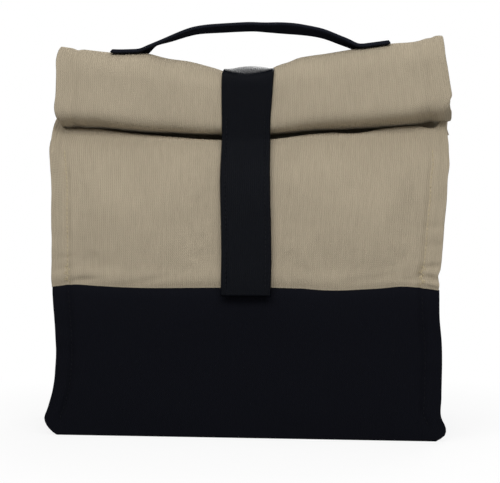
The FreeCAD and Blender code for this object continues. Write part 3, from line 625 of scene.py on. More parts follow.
def crease_depth(creases, x, z):
    """How far soft creases push a face outwards at each place."""
    pushed = np.zeros(np.broadcast(x, z).shape)
    for cx, cz, half_long, half_wide, depth, tilt in creases:
        dx = (x - cx * MM) / (half_long * MM)
        dz = (z - cz * MM - tilt * (x - cx * MM)) / (half_wide * MM)
        pushed += depth * MM * np.exp(-dx**2 - dz**2)
    return pushed


def edge_at(edges, share, z):
    """Place across of a share of the outline, from -1 at the left edge to 1 at the right edge."""
    left, right = curve(edges[-1], z), curve(edges[1], z)
    return np.where(share < 0, share * left, share * right)


def strap_press(x, y, z):
    """How far the strap's pull lifts the roll's top and presses in the fold at its front, under the strap."""
    across = np.clip((x - curve(STRAP_LINE, z)) / STRAP_HALF, -1, 1)
    crown_share, crown_half, fold_half = 0.9, 8 * MM, 6 * MM
    crown = crown_share * bell(y - HANDLE_Y, crown_half)
    fold = bell(y - ROLL_FRONT - 1 * MM, fold_half)
    near_top = smooth(z, ROLL_TOP - 16 * MM, ROLL_TOP - 4 * MM)
    return sizes().strap_press * (1 - across**2) * (crown - fold) * near_top


def lower_edge(x):
    """Height of the cloth of the sides where it meets the roll's lower edge."""
    tucked_under = 1.5 * MM
    return ROLL_BOTTOM + curve(LOWER_LINE, x) - tucked_under


def shoulder_z(x):
    """Height at which the front wall turns back under the roll."""
    return ROLL_BOTTOM + curve(LOWER_LINE, x) - curve(ROLL_GAPS, x)


def seam_relief(from_edge, side, z, seed):
    """Groove of a corner's stitch line, with its cut edge leaning and puckered, as an outward push."""
    size = sizes()
    groove_depth, groove_half = 1.5 * MM, 1.8 * MM
    pucker_height, pucker_length, lean_depth = 0.7 * MM, 9 * MM, 0.5 * MM
    groove = -groove_depth * bell(from_edge - size.flange, groove_half)
    on_flange = 1 - smooth(from_edge, size.flange - 2 * MM, size.flange + 9 * MM)
    pucker = pucker_height * uneven(side * 20 * MM, z, pucker_length, seed) * on_flange
    lean = -lean_depth * (1 - smooth(from_edge, 0, size.flange))
    return groove + pucker + lean


def seam_dip(z):
    """Dip of the cloth at the seam along the band's top edge."""
    depth, half_width = 0.9 * MM, 2.4 * MM
    return depth * bell(z - BAND_TOP, half_width)


def seam_wander(side, x, z):
    """Heights that follow the uneven seam between band and light canvas on the front."""
    if side > 0:
        return z
    fading_height = 26 * MM
    below = np.clip(z / BAND_TOP, 0, 1) ** 4
    above = 1 - smooth(z, BAND_TOP, BAND_TOP + fading_height)
    return z + curve(SEAM_LINE, x) * np.where(z < BAND_TOP, below, above)


def wall_face(share, z, edges, seed):
    """Place across and outward push of a front or back wall at a share of its outline."""
    size = sizes()
    x = edge_at(edges, share, z)
    from_edge = np.where(share < 0, curve(edges[-1], z), curve(edges[1], z)) - abs(x)
    inside = smooth(from_edge, size.flange - 1 * MM, size.flange + SWELL_RUN)
    patch_height, patch_length = 0.5 * MM, 38 * MM
    patches = patch_height * uneven(x, z, patch_length, seed)
    push = (size.wall_bulge + patches) * inside + seam_relief(from_edge, np.sign(share), z, seed)
    return x, push


def wall_y(side, z):
    """Upright profile of the front (-1) or back (1) wall without its swelling."""
    return curve(BACK_LINE if side > 0 else FRONT_LINE, z)


def turned_rows():
    """Heights of a band's rows, and how far each is turned under along its rounded lower edge."""
    turn = 1.6 * MM
    angles = np.linspace(0, math.pi / 2, 6)
    upright = np.linspace(turn, BAND_TOP, 42)[1:]
    z = np.concatenate([turn * (1 - np.cos(angles)), upright])
    return z, np.concatenate([turn * (1 - np.sin(angles)), 0 * upright])


def pulled_flat(z):
    """Share of a wall's swelling that is left as it nears the roll."""
    return 1 - 0.75 * smooth(z, WALL_TOP - 22 * MM, WALL_TOP + 4 * MM)


def band_face(side, share, z, tuck):
    """Points of the dark band's outer face on the front (-1) or back (1)."""
    x, push = wall_face(share, z, BAND_EDGES, 2 + side)
    push = push * smooth(z, 0, FOOT_RUN) - seam_dip(z)
    return np.stack([x, wall_y(side, z) + side * (push - tuck), seam_wander(side, x, z)], axis=-1)


def upper_face(side, share, z, tuck=0):
    """Points of the light canvas above the band on the front (-1) or back (1)."""
    x, push = wall_face(share, z, WALL_EDGES if side < 0 else BACK_EDGES, 6 + side)
    push = push * pulled_flat(z) - seam_dip(z)
    if side < 0:
        lip_height, lip_rise, lip_half = 0.8 * MM, 7 * MM, 5 * MM
        lip = lip_height * bell(z - BAND_TOP - lip_rise, lip_half)
        push = push + crease_depth(FRONT_CREASES, x, z) + lip
    return np.stack([x, wall_y(side, z) + side * (push - tuck), seam_wander(side, x, z)], axis=-1)


def across_wall(side):
    """Shares of the outline across a wall, ordered so that its face looks outwards."""
    return -side * denser(count=120, edge_share=0.25)


def shoulder_rows(wall):
    """Carries the front wall on from its top: back under the roll, then up to the sleeve's inner wall."""
    size = sizes()
    turn = 4 * MM
    angles = np.linspace(0, math.pi / 2, 6)[1:]
    over = [wall[-1] + (0, turn * (1 - math.cos(a)), turn * math.sin(a)) for a in angles]
    foot = over[-1].copy()
    foot[:, 1] = ROLL_BACK - 2 * size.ply - size.sleeve_gap - turn
    foot[:, 2] = SHOULDER_TOP
    level = [over[-1] + t * (foot - over[-1]) for t in np.linspace(0, 1, 9)[1:]]
    up = [foot + (0, turn * math.sin(a), turn * (1 - math.cos(a))) for a in angles]
    return np.concatenate([wall, over, level, up])


def inward(heading):
    """The direction from the roll's outer line towards its core."""
    return np.array([-heading[1], heading[0]])


def corner_ends(index, depth=0.0):
    """Where the rounding of one corner of the roll begins and ends at a depth into it, and its radius."""
    size = sizes()
    places = [(ROLL_BACK, ROLL_TOP), (ROLL_FRONT, ROLL_TOP), (ROLL_FRONT, ROLL_BOTTOM),
              (RETURN_BACK, ROLL_BOTTOM)]
    radius = size.hem_radius if index > 1 else size.roll_radius
    heading, turned = HEADINGS[index], HEADINGS[index + 1]
    begin = places[index] - radius * heading + depth * inward(heading)
    end = places[index] + radius * turned + depth * inward(turned)
    return begin, end, radius


def sleeve_line(start):
    """The sleeve's outer line from a height on the neck to the mouth: depth and height of each row, the
    direction towards the core, and the rows where its four bending pieces begin and end."""
    row_step, corner_rows, mouth_rows = 2.4 * MM, 12, 5
    hair = 0.02 * MM
    places, cores, splits = [], [], [0]
    place = np.array([ROLL_BACK, start])
    for index in range(4):
        begin, end, radius = corner_ends(index)
        heading, turned = HEADINGS[index], HEADINGS[index + 1]
        count = max(2, int(np.linalg.norm(begin - place) / row_step))
        # The pieces part midway over the crest, two thirds down the front and where the return begins
        if index:
            splits.append(len(places) + (count // 2, count * 2 // 3, 0)[index - 1])
        places += [place + t * (begin - place) for t in np.linspace(0, 1, count, endpoint=False)]
        cores += [inward(heading)] * count
        centre = begin + radius * turned
        for a in np.linspace(0, math.pi / 2, corner_rows):
            core = math.cos(a) * inward(heading) + math.sin(a) * inward(turned)
            places.append(centre - radius * core)
            cores.append(core)
        place = end + hair * turned
    mouth = np.array([place[0], HEM_TOP])
    places += [place + t * (mouth - place) for t in np.linspace(0, 1, mouth_rows + 1)[1:]]
    cores += [inward(HEADINGS[4])] * mouth_rows
    return np.array(places), np.array(cores), splits + [len(places) - 1]


def squared(spoke, power):
    """Moves places on a round corner, measured from its centre, out on to a squarer one."""
    reach = (abs(spoke) ** power).sum(axis=-1) ** (1 / power)
    return spoke * (np.linalg.norm(spoke, axis=-1) / reach)[..., None]


def soften_roll(points):
    """Lifts the roll's ends above the dip under the strap, raises its lower edge and fills its front."""
    fold_power, strap_reach = 4, 14 * MM
    places = points[..., 1:].copy()
    centre = np.array([ROLL_FRONT, ROLL_BOTTOM]) + sizes().hem_radius
    under = (places < centre).all(axis=-1)
    places[under] = centre + squared(places[under] - centre, fold_power)
    x, y, z = points[..., 0], places[..., 0], places[..., 1]
    up = np.clip((z - ROLL_BOTTOM) / (ROLL_TOP - ROLL_BOTTOM), 0, 1)
    forward = smooth(-y, -ROLL_BACK, -ROLL_FRONT)
    low = curve(LOWER_LINE, x) * forward * smooth(z, WALL_TOP, ROLL_BOTTOM)
    lifted = z + curve(CREST_LINE, x) * up + low * (1 - up) + strap_press(x, y, z)
    away = np.clip(abs(x) - STRAP_HALF, 0, None)
    full = curve(ROLL_FULLNESS, z) * (1 - np.exp(-away / strap_reach))
    pushed = y - full * smooth(-y, 10 * MM, -ROLL_FRONT)
    return np.stack([x, pushed, lifted], axis=-1)


def sleeve_grid(rows, share):
    """Even grid of one face of the sleeve, from its rows' depth and height."""
    share, y = np.meshgrid(share, rows[:, 0])
    z = np.broadcast_to(rows[:, 1][:, None], y.shape)
    return np.stack([edge_at(ROLL_EDGES, share, z), y, z], axis=2)


def rumple(grid, seed):
    """Soft unevenness of the sleeve's outer wall, with the groove of its side seams."""
    patch_height, patch_length = 0.6 * MM, 30 * MM
    groove_depth, groove_inset, groove_half = 0.9 * MM, 12 * MM, 2.4 * MM
    run = grid_cloth(grid)
    from_edge = NECK_EDGE + 2 * MM - abs(grid[..., 0])
    risen = smooth(run[..., 1], 0, patch_length)
    patches = patch_height * uneven(run[..., 0], run[..., 1], patch_length, seed)
    patches = patches * smooth(from_edge, 0, patch_length)
    groove = -groove_depth * bell(from_edge - groove_inset, groove_half)
    return grid + grid_normals(grid) * ((patches + groove) * risen)[..., None]


def back_and_sleeve():
    """One cloth from the back wall's seam to the mouth: its even grid, its soft grid, and the rows where the
    sleeve's bending pieces begin and end."""
    share = across_wall(1)
    z = np.linspace(BAND_TOP, NECK_SPLIT, 50, endpoint=False)
    back = upper_face(1, *np.meshgrid(share, z))
    line, _, splits = sleeve_line(NECK_SPLIT)
    even = np.concatenate([back, sleeve_grid(line, share)])
    soft = soften_roll(even)
    loose = slice(len(z) - 8, None)
    soft[loose] = rumple(soft[loose], seed=21)
    return even, soft, [len(z) + row for row in splits]


def add_cloth(name, grid, thickness, finish, body, replaced, held, rests_on, slot, **cut):
    """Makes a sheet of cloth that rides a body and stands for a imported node."""
    piece = make_slab(name, grid, thickness, finish, **cut)
    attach(piece, body)
    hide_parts(replaced)


class LUNCHBAG_OT_walls(bpy.types.Operator):
    """Build the front and back: the dark band and the light canvas above it"""

    bl_idname = "lunchbag.walls"
    bl_label = "Front and back"

    def execute(self, context):
        size = sizes()
        heights, tuck = turned_rows()
        for side, name in WALLS.items():
            grid = band_face(side, *np.meshgrid(across_wall(side), heights), tuck[:, None])
            add_cloth(f"{name}_band_canvas", grid, size.canvas, "dark_cotton_canvas", "bag", f"band_{name}",
                      "stretched", "base_canvas", "canvas_dark")
        share = across_wall(-1)
        top = shoulder_z(share * NECK_EDGE) - 4 * MM
        # Rows lie closer together low down, where the cloth is gathered
        row_count, crowding = 64, 1.35
        risen = np.linspace(0, 1, row_count)[:, None] ** crowding
        z = BAND_TOP + risen * (top - BAND_TOP)
        wall = upper_face(-1, np.broadcast_to(share, z.shape), z)
        grid = shoulder_rows(settle_canvas("front_settling", wall, WALL_TOP, STRAP_HALF))
        add_cloth("front_canvas", grid, size.canvas, "light_cotton_canvas", "bag", "front_panel", "stretched",
                  "front_band_canvas", "canvas_light", joined="last")
        _, soft, splits = back_and_sleeve()
        rows = slice(0, splits[0] + 1)
        soft[rows] = settle_canvas("back_settling", soft[rows], WALL_TOP, 0)
        add_cloth("back_canvas", soft[rows], size.canvas, "light_cotton_canvas", "bag", "back_panel",
                  "stretched", "back_band_canvas", "canvas_light", normals=grid_normals(soft)[rows],
                  cloth=grid_cloth(soft)[rows], joined="last")
        return {"FINISHED"}


def side_flange(side, wall, z, face, edges):
    """Columns of a side's turned-out seam allowance behind a wall's edge, from its cut edge inwards."""
    insets = (0.5, 3.5, 6.5, 9.3)
    behind_wall, foot_lift = 0.2 * MM, 1.8 * MM
    columns = []
    for inset in insets:
        share = side * (1 - inset * MM / curve(edges[side], z))
        points = face(wall, share, z, 0)
        points[:, 1] -= wall * (2 * sizes().canvas + behind_wall)
        points[:, 2] += foot_lift * (1 - smooth(z, 0, 10 * MM))
        if wall < 0:
            top = shoulder_z(share * NECK_EDGE) - 3 * MM
            points[:, 2] += (top - SIDE_TOP) * smooth(z, WALL_TOP - 20 * MM, SIDE_TOP)
        columns.append(points)
    return columns


def fold_depth(z):
    """How far a folding side has gone inwards at a height."""
    return FOLD_DEPTH * np.clip((z - BAND_TOP) / (WALL_TOP - BAND_TOP), 0, 1) ** 1.15


def side_web(side, z, tuck, front_edges, back_edges):
    """Columns of a side panel between its front and back seams, bowed on the band and folded above it."""
    seam = sizes().flange + 0.6 * MM
    behind_wall, mouth_dip = 3.6 * MM, 12 * MM
    sag_depth, sag_length = 0.7 * MM, 34 * MM
    front, back = wall_y(-1, z) + behind_wall, wall_y(1, z) - behind_wall
    front_reach, back_reach = curve(front_edges[side], z), curve(back_edges[side], z)
    columns = []
    for t in (1 - np.cos(np.linspace(0, math.pi, 41))) / 2:
        y = front + t * (back - front)
        reach = front_reach + t * (back_reach - front_reach) - seam
        fold = fold_depth(z) * (1 - abs(2 * t - 1) ** 1.35)
        bow = SIDE_BOW * math.sin(math.pi * t) * smooth(z, 0, BOW_RUN)
        sag = sag_depth * uneven(y, z, sag_length, 11 + side) * math.sin(math.pi * t)
        x = side * (reach - tuck - fold - bow + sag)
        opening = mouth_dip * bell(t, 0.45)
        top = (lower_edge(x) - opening - SIDE_TOP) * smooth(z, WALL_TOP - 12 * MM, SIDE_TOP)
        columns.append(np.stack([x, y, z + top], axis=1))
    return columns


def side_grid(side, z, tuck, face, front_edges, back_edges):
    """Outer face of a side: seam allowance, panel and seam allowance, ordered so that it looks outwards."""
    front = side_flange(side, -1, z, face, front_edges)
    back = side_flange(side, 1, z, face, back_edges)[::-1]
    columns = front + side_web(side, z, tuck, front_edges, back_edges) + back
    return np.stack(columns if side > 0 else columns[::-1], axis=1)


class LUNCHBAG_OT_sides(bpy.types.Operator):
    """Build the two sides: the dark band and the light canvas that folds inwards above it"""

    bl_idname = "lunchbag.sides"
    bl_label = "Folding sides"

    def execute(self, context):
        size = sizes()
        heights, tuck = turned_rows()
        for side, name in SIDES.items():
            band = f"{name}_band_canvas"
            grid = side_grid(side, heights, tuck, band_face, BAND_EDGES, BAND_EDGES)
            add_cloth(band, grid, size.canvas, "dark_cotton_canvas", "bag", f"band_{name}", "stretched",
                      "base_canvas", "canvas_dark")
            z = np.linspace(BAND_TOP, SIDE_TOP, 54)
            grid = side_grid(side, z, 0 * z, upper_face, WALL_EDGES, BACK_EDGES)
            add_cloth(f"{name}_gusset_canvas", grid, size.canvas, "light_cotton_canvas", "bag",
                      f"{name}_gusset", "folded", band, "canvas_light")
        return {"FINISHED"}


class LUNCHBAG_OT_base(bpy.types.Operator):
    """Build the base canvas and finish the stiffening board above it"""

    bl_idname = "lunchbag.base"
    bl_label = "Base"

    def execute(self, context):
        size = sizes()
        corner_room, depth_share, unevenness = 5.5 * MM, 0.92, 0.25 * MM
        half = curve(BAND_EDGES[1], 0.0) - size.flange - corner_room
        y, x = np.meshgrid(np.linspace(FRONT, BACK, 40) * depth_share, np.linspace(-half, half, 70))
        lift = unevenness * (1 + uneven(x, y, patch=30 * MM, seed=4)) * smooth(abs(x), 0, half)
        grid = np.stack([x, y, lift], axis=2)
        add_cloth("base_canvas", grid, size.canvas, "dark_cotton_canvas", "bag", "base_panel", "laid",
                  "base_board", "canvas_dark")
        board = frame["nodes"]["base_board"]
        board.data.materials.clear()
        board.data.materials.append(material("moulded_base_board"))
        return {"FINISHED"}


def inner_wall(side, depth):
    """A layer behind the front or back wall, which narrows above the band to clear the folding sides."""
    z = np.linspace(INNER_BOTTOM, WALL_TOP - INNER_TOP_ROOM, 56)
    room = (wall_y(1, z) - wall_y(-1, z)) / 2
    half = INNER_WALL_HALF - depth - fold_depth(z) * np.clip((depth + 4 * MM) / room, 0, 1)
    x = -side * np.linspace(-1, 1, 60) * half[:, None]
    z = np.broadcast_to(z[:, None], x.shape)
    swell = sizes().wall_bulge * smooth(half[:, None] - abs(x), 0, SWELL_RUN) * smooth(z, 0, FOOT_RUN)
    swell = swell * pulled_flat(z)
    return np.stack([x, wall_y(side, z) + side * (swell - depth - 1 * MM), z], axis=2)


def inner_side(side, depth):
    """A layer behind a side panel of the band."""
    z = np.linspace(INNER_BOTTOM, BAND_TOP - INNER_TOP_ROOM, 30)
    front, back = FRONT + depth + INNER_SIDE_ROOM, BACK - depth - INNER_SIDE_ROOM
    y, z = np.meshgrid(side * np.linspace(front, back, 40), z)
    bow = SIDE_BOW * np.cos(math.pi * y / (BACK - FRONT)) * smooth(z, 0, BOW_RUN)
    return np.stack([side * (INNER_SIDE_HALF - bow - depth), y, z], axis=2)


def inner_gusset(side):
    """The padded lining behind a folding side."""
    z = np.linspace(BAND_TOP, WALL_TOP - INNER_TOP_ROOM, 34)
    clear_of_seams, behind_canvas = slice(8, -8), 0.6 * MM
    columns = side_web(side, z, 0 * z, WALL_EDGES, BACK_EDGES)[clear_of_seams]
    grid = np.stack(columns if side > 0 else columns[::-1], axis=1)
    return grid - grid_normals(grid) * (sizes().canvas + behind_canvas)


def inner_base(bottom):
    """A layer above the base board; its grid is the lower face."""
    y, x = np.meshgrid(np.linspace(FRONT + INNER_BASE_ROOM, BACK - INNER_BASE_ROOM, 30),
                       np.linspace(-INNER_BASE_HALF, INNER_BASE_HALF, 50))
    return np.stack([x, y, np.full_like(x, bottom)], axis=2)


def add_padding(name, grid, thickness, finish, replaced):
    """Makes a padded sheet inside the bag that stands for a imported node."""
    piece = make_slab(name, grid, thickness, finish)
    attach(piece, "bag")
    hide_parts(replaced)


class LUNCHBAG_OT_insulation(bpy.types.Operator):
    """Build the foam and the wipe-clean lining of the walls, sides and base"""

    bl_idname = "lunchbag.insulation"
    bl_label = "Foam and lining"

    def execute(self, context):
        size = sizes()
        foam_depth = size.canvas + size.layer_gap
        lining_depth = foam_depth + size.foam + size.layer_gap
        foam_low, foam_high = node_box("base_foam")
        layers = [("foam", foam_depth, foam_low[2]), ("lining", lining_depth, foam_high[2] + size.layer_gap)]
        for layer, depth, bottom in layers:
            grids = {name: inner_wall(side, depth) for side, name in WALLS.items()}
            grids.update({name: inner_side(side, depth) for side, name in SIDES.items()})
            grids["base"] = inner_base(bottom)
            for name, grid in grids.items():
                if layer == "foam":
                    add_padding(f"{name}_foam_sheet", grid, size.foam, "closed_cell_foam",
                                f"{name}_foam")
                else:
                    add_cloth(f"{name}_lining_sheet", grid, size.lining, "embossed_lining_film", "bag",
                              f"{name}_lining", "stretched", f"{name}_foam_sheet", "lining")
        gusset_padding = 2 * MM
        for side, name in SIDES.items():
            add_padding(f"{name}_gusset_padding", inner_gusset(side), gusset_padding, "embossed_lining_film",
                        f"{name}_gusset_lining")
        return {"FINISHED"}


def bend_piece(piece, even):
    """Lays a piece's points on the even roll, bakes its placement into its mesh and puts its soft points
    back."""
    soft = np.zeros(len(piece.data.vertices) * 3, np.float32)
    piece.data.vertices.foreach_get("co", soft)
    piece.data.vertices.foreach_set("co", even.astype(np.float32).ravel())
    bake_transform(piece)
    piece.data.vertices.foreach_set("co", soft)
    piece.data.update()


def bending_pieces(name, even, soft, splits, thickness, finish):
    """Cuts one layer of the roll into the pieces that bend over its corners and meet without a step."""
    normals, even_normals, cloth = grid_normals(soft), grid_normals(even), grid_cloth(soft)
    made = []
    for index in range(len(splits) - 1):
        rows = slice(splits[index], splits[index + 1] + 1)
        joined = "first last" if index < len(splits) - 2 else "first"
        piece = make_slab(f"{name}_{RUNS[index]}", soft[rows], thickness, finish, normals[rows], cloth[rows],
                          joined)
        bend_piece(piece, slab_points(even[rows], even_normals[rows], thickness, joined)[0])
        made.append(piece)
    return made


def fold_grid(side, line, cores):
    """Even grid of a sleeve's folded side: in from the edge between the two walls, round its tip and out."""
    size = sizes()
    middle, apart, edge_inset = size.ply + size.sleeve_gap / 2, 0.2 * MM, 1.5 * MM
    t = np.linspace(0, 1, 14)
    ways = [(share, middle - apart) for share in t] + [(share, middle + apart) for share in t[::-1]]
    columns = []
    for share, depth in ways if side > 0 else ways[::-1]:
        rows = line + depth * cores
        x = side * (curve(ROLL_EDGES[side], rows[:, 1]) - edge_inset - share * FOLD_DEPTH)
        columns.append(np.stack([x, rows[:, 0], rows[:, 1]], axis=1))
    return np.stack(columns, axis=1)


class LUNCHBAG_OT_roll(bpy.types.Operator):
    """Build the rolled sleeve: its outer and inner walls and the folded sides between them"""

    bl_idname = "lunchbag.roll"
    bl_label = "Rolled sleeve"

    def execute(self, context):
        size = sizes()
        nodes = {"crest": ("neck", "crest"), "front": ("roll_front",), "return": ("roll_return",),
                 "hem": ("hem",)}
        finish = "light_cotton_canvas"
        outer_thickness, fold_thickness, inner_share = 0.6 * size.ply, 1.1 * MM, 0.988
        even, soft, splits = back_and_sleeve()
        outer = bending_pieces("sleeve_outer", even, soft, splits, outer_thickness, finish)
        line, cores, splits = sleeve_line(INNER_START)
        depth = 2 * size.ply + size.sleeve_gap
        even = sleeve_grid(line + depth * cores, -across_wall(1) * inner_share)
        inner = bending_pieces("sleeve_inner", even, soften_roll(even), splits, size.ply, finish)
        for pieces, ply in ((outer, "outer_ply"), (inner, "inner_ply")):
            for piece, run in zip(pieces, RUNS):
                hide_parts(*[f"{part}_{ply}" for part in nodes[run]])
        line, cores, splits = sleeve_line(SHOULDER_TOP)
        for side, name in SIDES.items():
            even = fold_grid(side, line, cores)
            bending_pieces(f"sleeve_{name}_fold", even, soften_roll(even), splits,
                           fold_thickness, finish)
        return {"FINISHED"}


def flap_y(z):
    """Depth of the strap's outer face below the roll, where it hangs from the roll on to the front wall."""
    size = sizes()
    soft, slack = 2 * MM, 0.8 * MM
    roll = size.strap + size.layer_gap - ROLL_FRONT
    wall = size.wall_bulge + 2 * size.tape + size.strap + slack - wall_y(-1, z)
    return -soft * np.logaddexp(roll / soft, wall / soft)


def strap_rows():
    """The strap's outer line from its sewn tail, over the roll, to its free end, with the rows where its
    three pieces begin and end."""
    size = sizes()
    line, cores, splits = sleeve_line(NECK_SPLIT + 1 * MM)
    line = line - (size.strap + size.layer_gap) * cores
    centre = np.array([ROLL_FRONT + size.roll_radius, ROLL_TOP - size.roll_radius])
    spoke = line - centre
    over = (spoke[:, 0] < 0) & (spoke[:, 1] > 0)
    line[over] = centre + squared(spoke[over], power=4.5)
    root = int(np.argmax((line[:, 0] < ROLL_FRONT) & (line[:, 1] < corner_ends(1)[1][1] + 0.1 * MM)))
    z = np.linspace(line[root, 1], STRAP_END + 1.5 * MM, 56)[1:]
    flap = np.stack([flap_y(z), z], axis=1)
    return np.concatenate([line[:root + 1], flap]), [0, splits[1], root, root + len(flap)]


def strap_place(share, z):
    """Place across of a share of the strap's width: it wanders a little and its edges curl in places."""
    return curve(STRAP_LINE, z) + share * (STRAP_HALF - curve(STRAP_LOSS, z))


class LUNCHBAG_OT_strap(bpy.types.Operator):
    """Build the closing strap from its sewn tail over the roll to its free end"""

    bl_idname = "lunchbag.strap"
    bl_label = "Closing strap"

    def execute(self, context):
        size = sizes()
        rows, splits = strap_rows()
        across = np.sin(np.linspace(math.pi / 2, -math.pi / 2, 25))
        across, y = np.meshgrid(across, rows[:, 0])
        z = np.broadcast_to(rows[:, 1][:, None], y.shape)
        x = strap_place(across, z)
        grid = np.stack([x, y, z + strap_press(x, y, z)], axis=2)
        normals = grid_normals(grid)
        edge_curl, wave_height = 0.5 * MM, 0.25 * MM
        curl = -edge_curl * abs(across) ** 6 + wave_height * uneven(x, z, patch=22 * MM, seed=31)
        grid = grid + normals * curl[..., None]
        normals, cloth = grid_normals(grid), grid_cloth(grid)
        names = ("tail", "root", "flap")
        replaced = (("strap_tail",), ("strap_crest", "strap_root"), ("strap_flap",))
        for index, name in enumerate(names):
            cut = slice(splits[index], splits[index + 1] + 1)
            joined = ("last", "first last", "first")[index]
            piece = make_slab(f"strap_{name}_canvas", grid[cut], size.strap, "dark_strap_canvas",
                              normals[cut], cloth[cut], joined)
            if index < 2:
                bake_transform(piece)
            else:
                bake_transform(piece)
            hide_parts(*replaced[index])
        return {"FINISHED"}


def tape_grid(strip, face):
    """Grid of a strip of tape of a node's width and height on a face, which gives depth at a place."""
    low, high = node_box(strip)
    x, z = np.meshgrid(np.linspace(low[0], high[0], 16), np.linspace(low[2], high[2], 30))
    return np.stack([x, face(x, z), z], axis=2)


class LUNCHBAG_OT_tapes(bpy.types.Operator):
    """Build the loop tape on the front wall and the hook tape under the strap"""

    bl_idname = "lunchbag.tapes"
    bl_label = "Hook and loop tape"

    def execute(self, context):
        size = sizes()
        gap = 0.1 * MM

        def on_wall(x, z):
            return upper_face(-1, x / NECK_EDGE, z)[..., 1] - size.tape - gap

        def under_strap(_, z):
            return flap_y(z) + size.strap + gap

        for strip, face, body, behind in (("loop_tape", on_wall, "bag", "front_canvas"),
                                          ("hook_tape", under_strap, "strap", "strap_flap_canvas")):
            add_cloth(f"{strip}_pile", tape_grid(strip, face), size.tape, "hook_and_loop_nylon", body, strip,
                      "stretched", behind, "tape")
        return {"FINISHED"}


def handle_z(x, y):
    """Height of the handle's top face: its sewn ends lie over the round roll, and it arches between them."""
    size = sizes()
    radius = size.roll_radius
    past = np.maximum(np.maximum(ROLL_FRONT + radius - y, y - ROLL_BACK + radius), 0)
    # The stiff webbing follows only part of the roll's rounding, and its stitches pull it into the canvas
    drop_share, pulled_in = 0.6, 0.1 * MM
    drop = drop_share * (radius - np.sqrt(radius**2 - past**2))
    sewn = ROLL_TOP + curve(CREST_LINE, x) + size.handle - pulled_in - drop
    lying = np.where(x < 0, smooth(-x, *HANDLE_LANDS[-1]), smooth(x, *HANDLE_LANDS[1]))
    twisted_up = curve(HANDLE_TWIST, x) * (y - HANDLE_Y + HANDLE_HALF) / (2 * HANDLE_HALF)
    return (curve(HANDLE_LINE, x) + twisted_up) * (1 - lying) + sewn * lying


class LUNCHBAG_OT_handle(bpy.types.Operator):
    """Build the carry handle with its two sewn ends"""

    bl_idname = "lunchbag.handle"
    bl_label = "Carry handle"

    def execute(self, context):
        size = sizes()
        x = np.linspace(*HANDLE_ENDS, 141)
        across = np.sin(np.linspace(math.pi / 2, -math.pi / 2, 17))
        y, along = np.meshgrid(HANDLE_Y + across * HANDLE_HALF, x)
        z = handle_z(along, y)
        softenings = 6
        for _ in range(softenings):
            z[1:-1] = (z[:-2] + 2 * z[1:-1] + z[2:]) / 4
        grid = np.stack([along, y, z], axis=2)
        normals = grid_normals(grid)
        cloth = grid_cloth(grid)
        middle = len(x) // 2
        for side, name in SIDES.items():
            rows = slice(0, middle + 1) if side < 0 else slice(middle, len(x))
            piece = make_slab(f"handle_{name}_webbing", grid[rows], size.handle, "dark_cotton_webbing",
                              normals[rows], cloth[rows], "last" if side < 0 else "first")
            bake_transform(piece)
            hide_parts(f"handle_tab_{name}", "handle_grip")
        return {"FINISHED"}


def seam_path(face, side, across, z, inset, edges):
    """A line on a wall's face at a distance in from its side edge, with the face's normals."""
    reach = curve(edges[across], z)
    shares = [across * (1 - (inset + k) * MM / reach) for k in (-0.4, 0, 0.4)]
    grid = np.stack([face(side, share, z, 0) for share in shares], axis=1)
    normals = grid_normals(grid)[:, 1]
    outward = np.sign(normals[:, 1] * side)[:, None]
    return grid[:, 1], normals * outward


class LUNCHBAG_OT_stitching(bpy.types.Operator):
    """Sew the corner seams and their tacks, the strap, the handle's ends and the hem"""

    bl_idname = "lunchbag.stitching"
    bl_label = "Stitching"

    def execute(self, context):
        low = np.linspace(9 * MM, BAND_TOP - 2 * MM, 60)
        high = np.linspace(BAND_TOP + 2 * MM, WALL_TOP - 1 * MM, 60)
        for side, wall in WALLS.items():
            upper_edges = WALL_EDGES if side < 0 else BACK_EDGES
            for across, name in SIDES.items():
                for part, face, z, edges, thread in (("band", band_face, low, BAND_EDGES, "dark"),
                                                     ("canvas", upper_face, high, upper_edges, "light")):
                    path = seam_path(face, side, across, z, STITCH_INSET, edges)
                    sew_line(f"{wall}_{name}_{part}_stitches", *path, thread, "bag")
        # Zigzag tacks at the foot of the front corner seams
        z = np.linspace(BAND_TOP + 1 * MM, BAND_TOP + 14 * MM, 90)
        swing, turns = 1.7, 7
        zigzag = STITCH_INSET + swing * np.sin(np.linspace(0, turns * math.pi, len(z)))
        for across, name in SIDES.items():
            path = seam_path(upper_face, -1, across, z, zigzag, WALL_EDGES)
            sew_line(f"{name}_corner_tack", *path, "light", "bag")
        rows, splits = strap_rows()
        flap = rows[splits[2] + 6:-1]
        facing = np.tile((0.0, -1.0, 0.0), (len(flap), 1))
        lines = [np.linspace(a, b, 12, endpoint=False) for a, b in zip(HANDLE_BOX, HANDLE_BOX[1:])]
        box = np.concatenate(lines)
        facing_up = np.tile((0.0, 0.0, 1.0), (len(box), 1))
        strap_share, sunk = 0.82, 0.4 * MM
        for across, name in SIDES.items():
            x = strap_place(across * strap_share, flap[:, 1])
            points = np.stack([x, flap[:, 0], flap[:, 1]], axis=1)
            sew_line(f"strap_{name}_stitches", points, facing, "dark", "strap")
            x, y = across * box[:, 0], HANDLE_Y + box[:, 1]
            points = np.stack([x, y, handle_z(x, y) - sunk], axis=1)
            sew_line(f"handle_{name}_stitches", points, facing_up, "dark", "roll_crest")
        _, soft, _ = back_and_sleeve()
        # Along the fourth row from the mouth
        hem = (-4, slice(4, -4))
        sew_line("hem_stitches", soft[hem], grid_normals(soft)[hem], "light", "roll_hem")
        return {"FINISHED"}


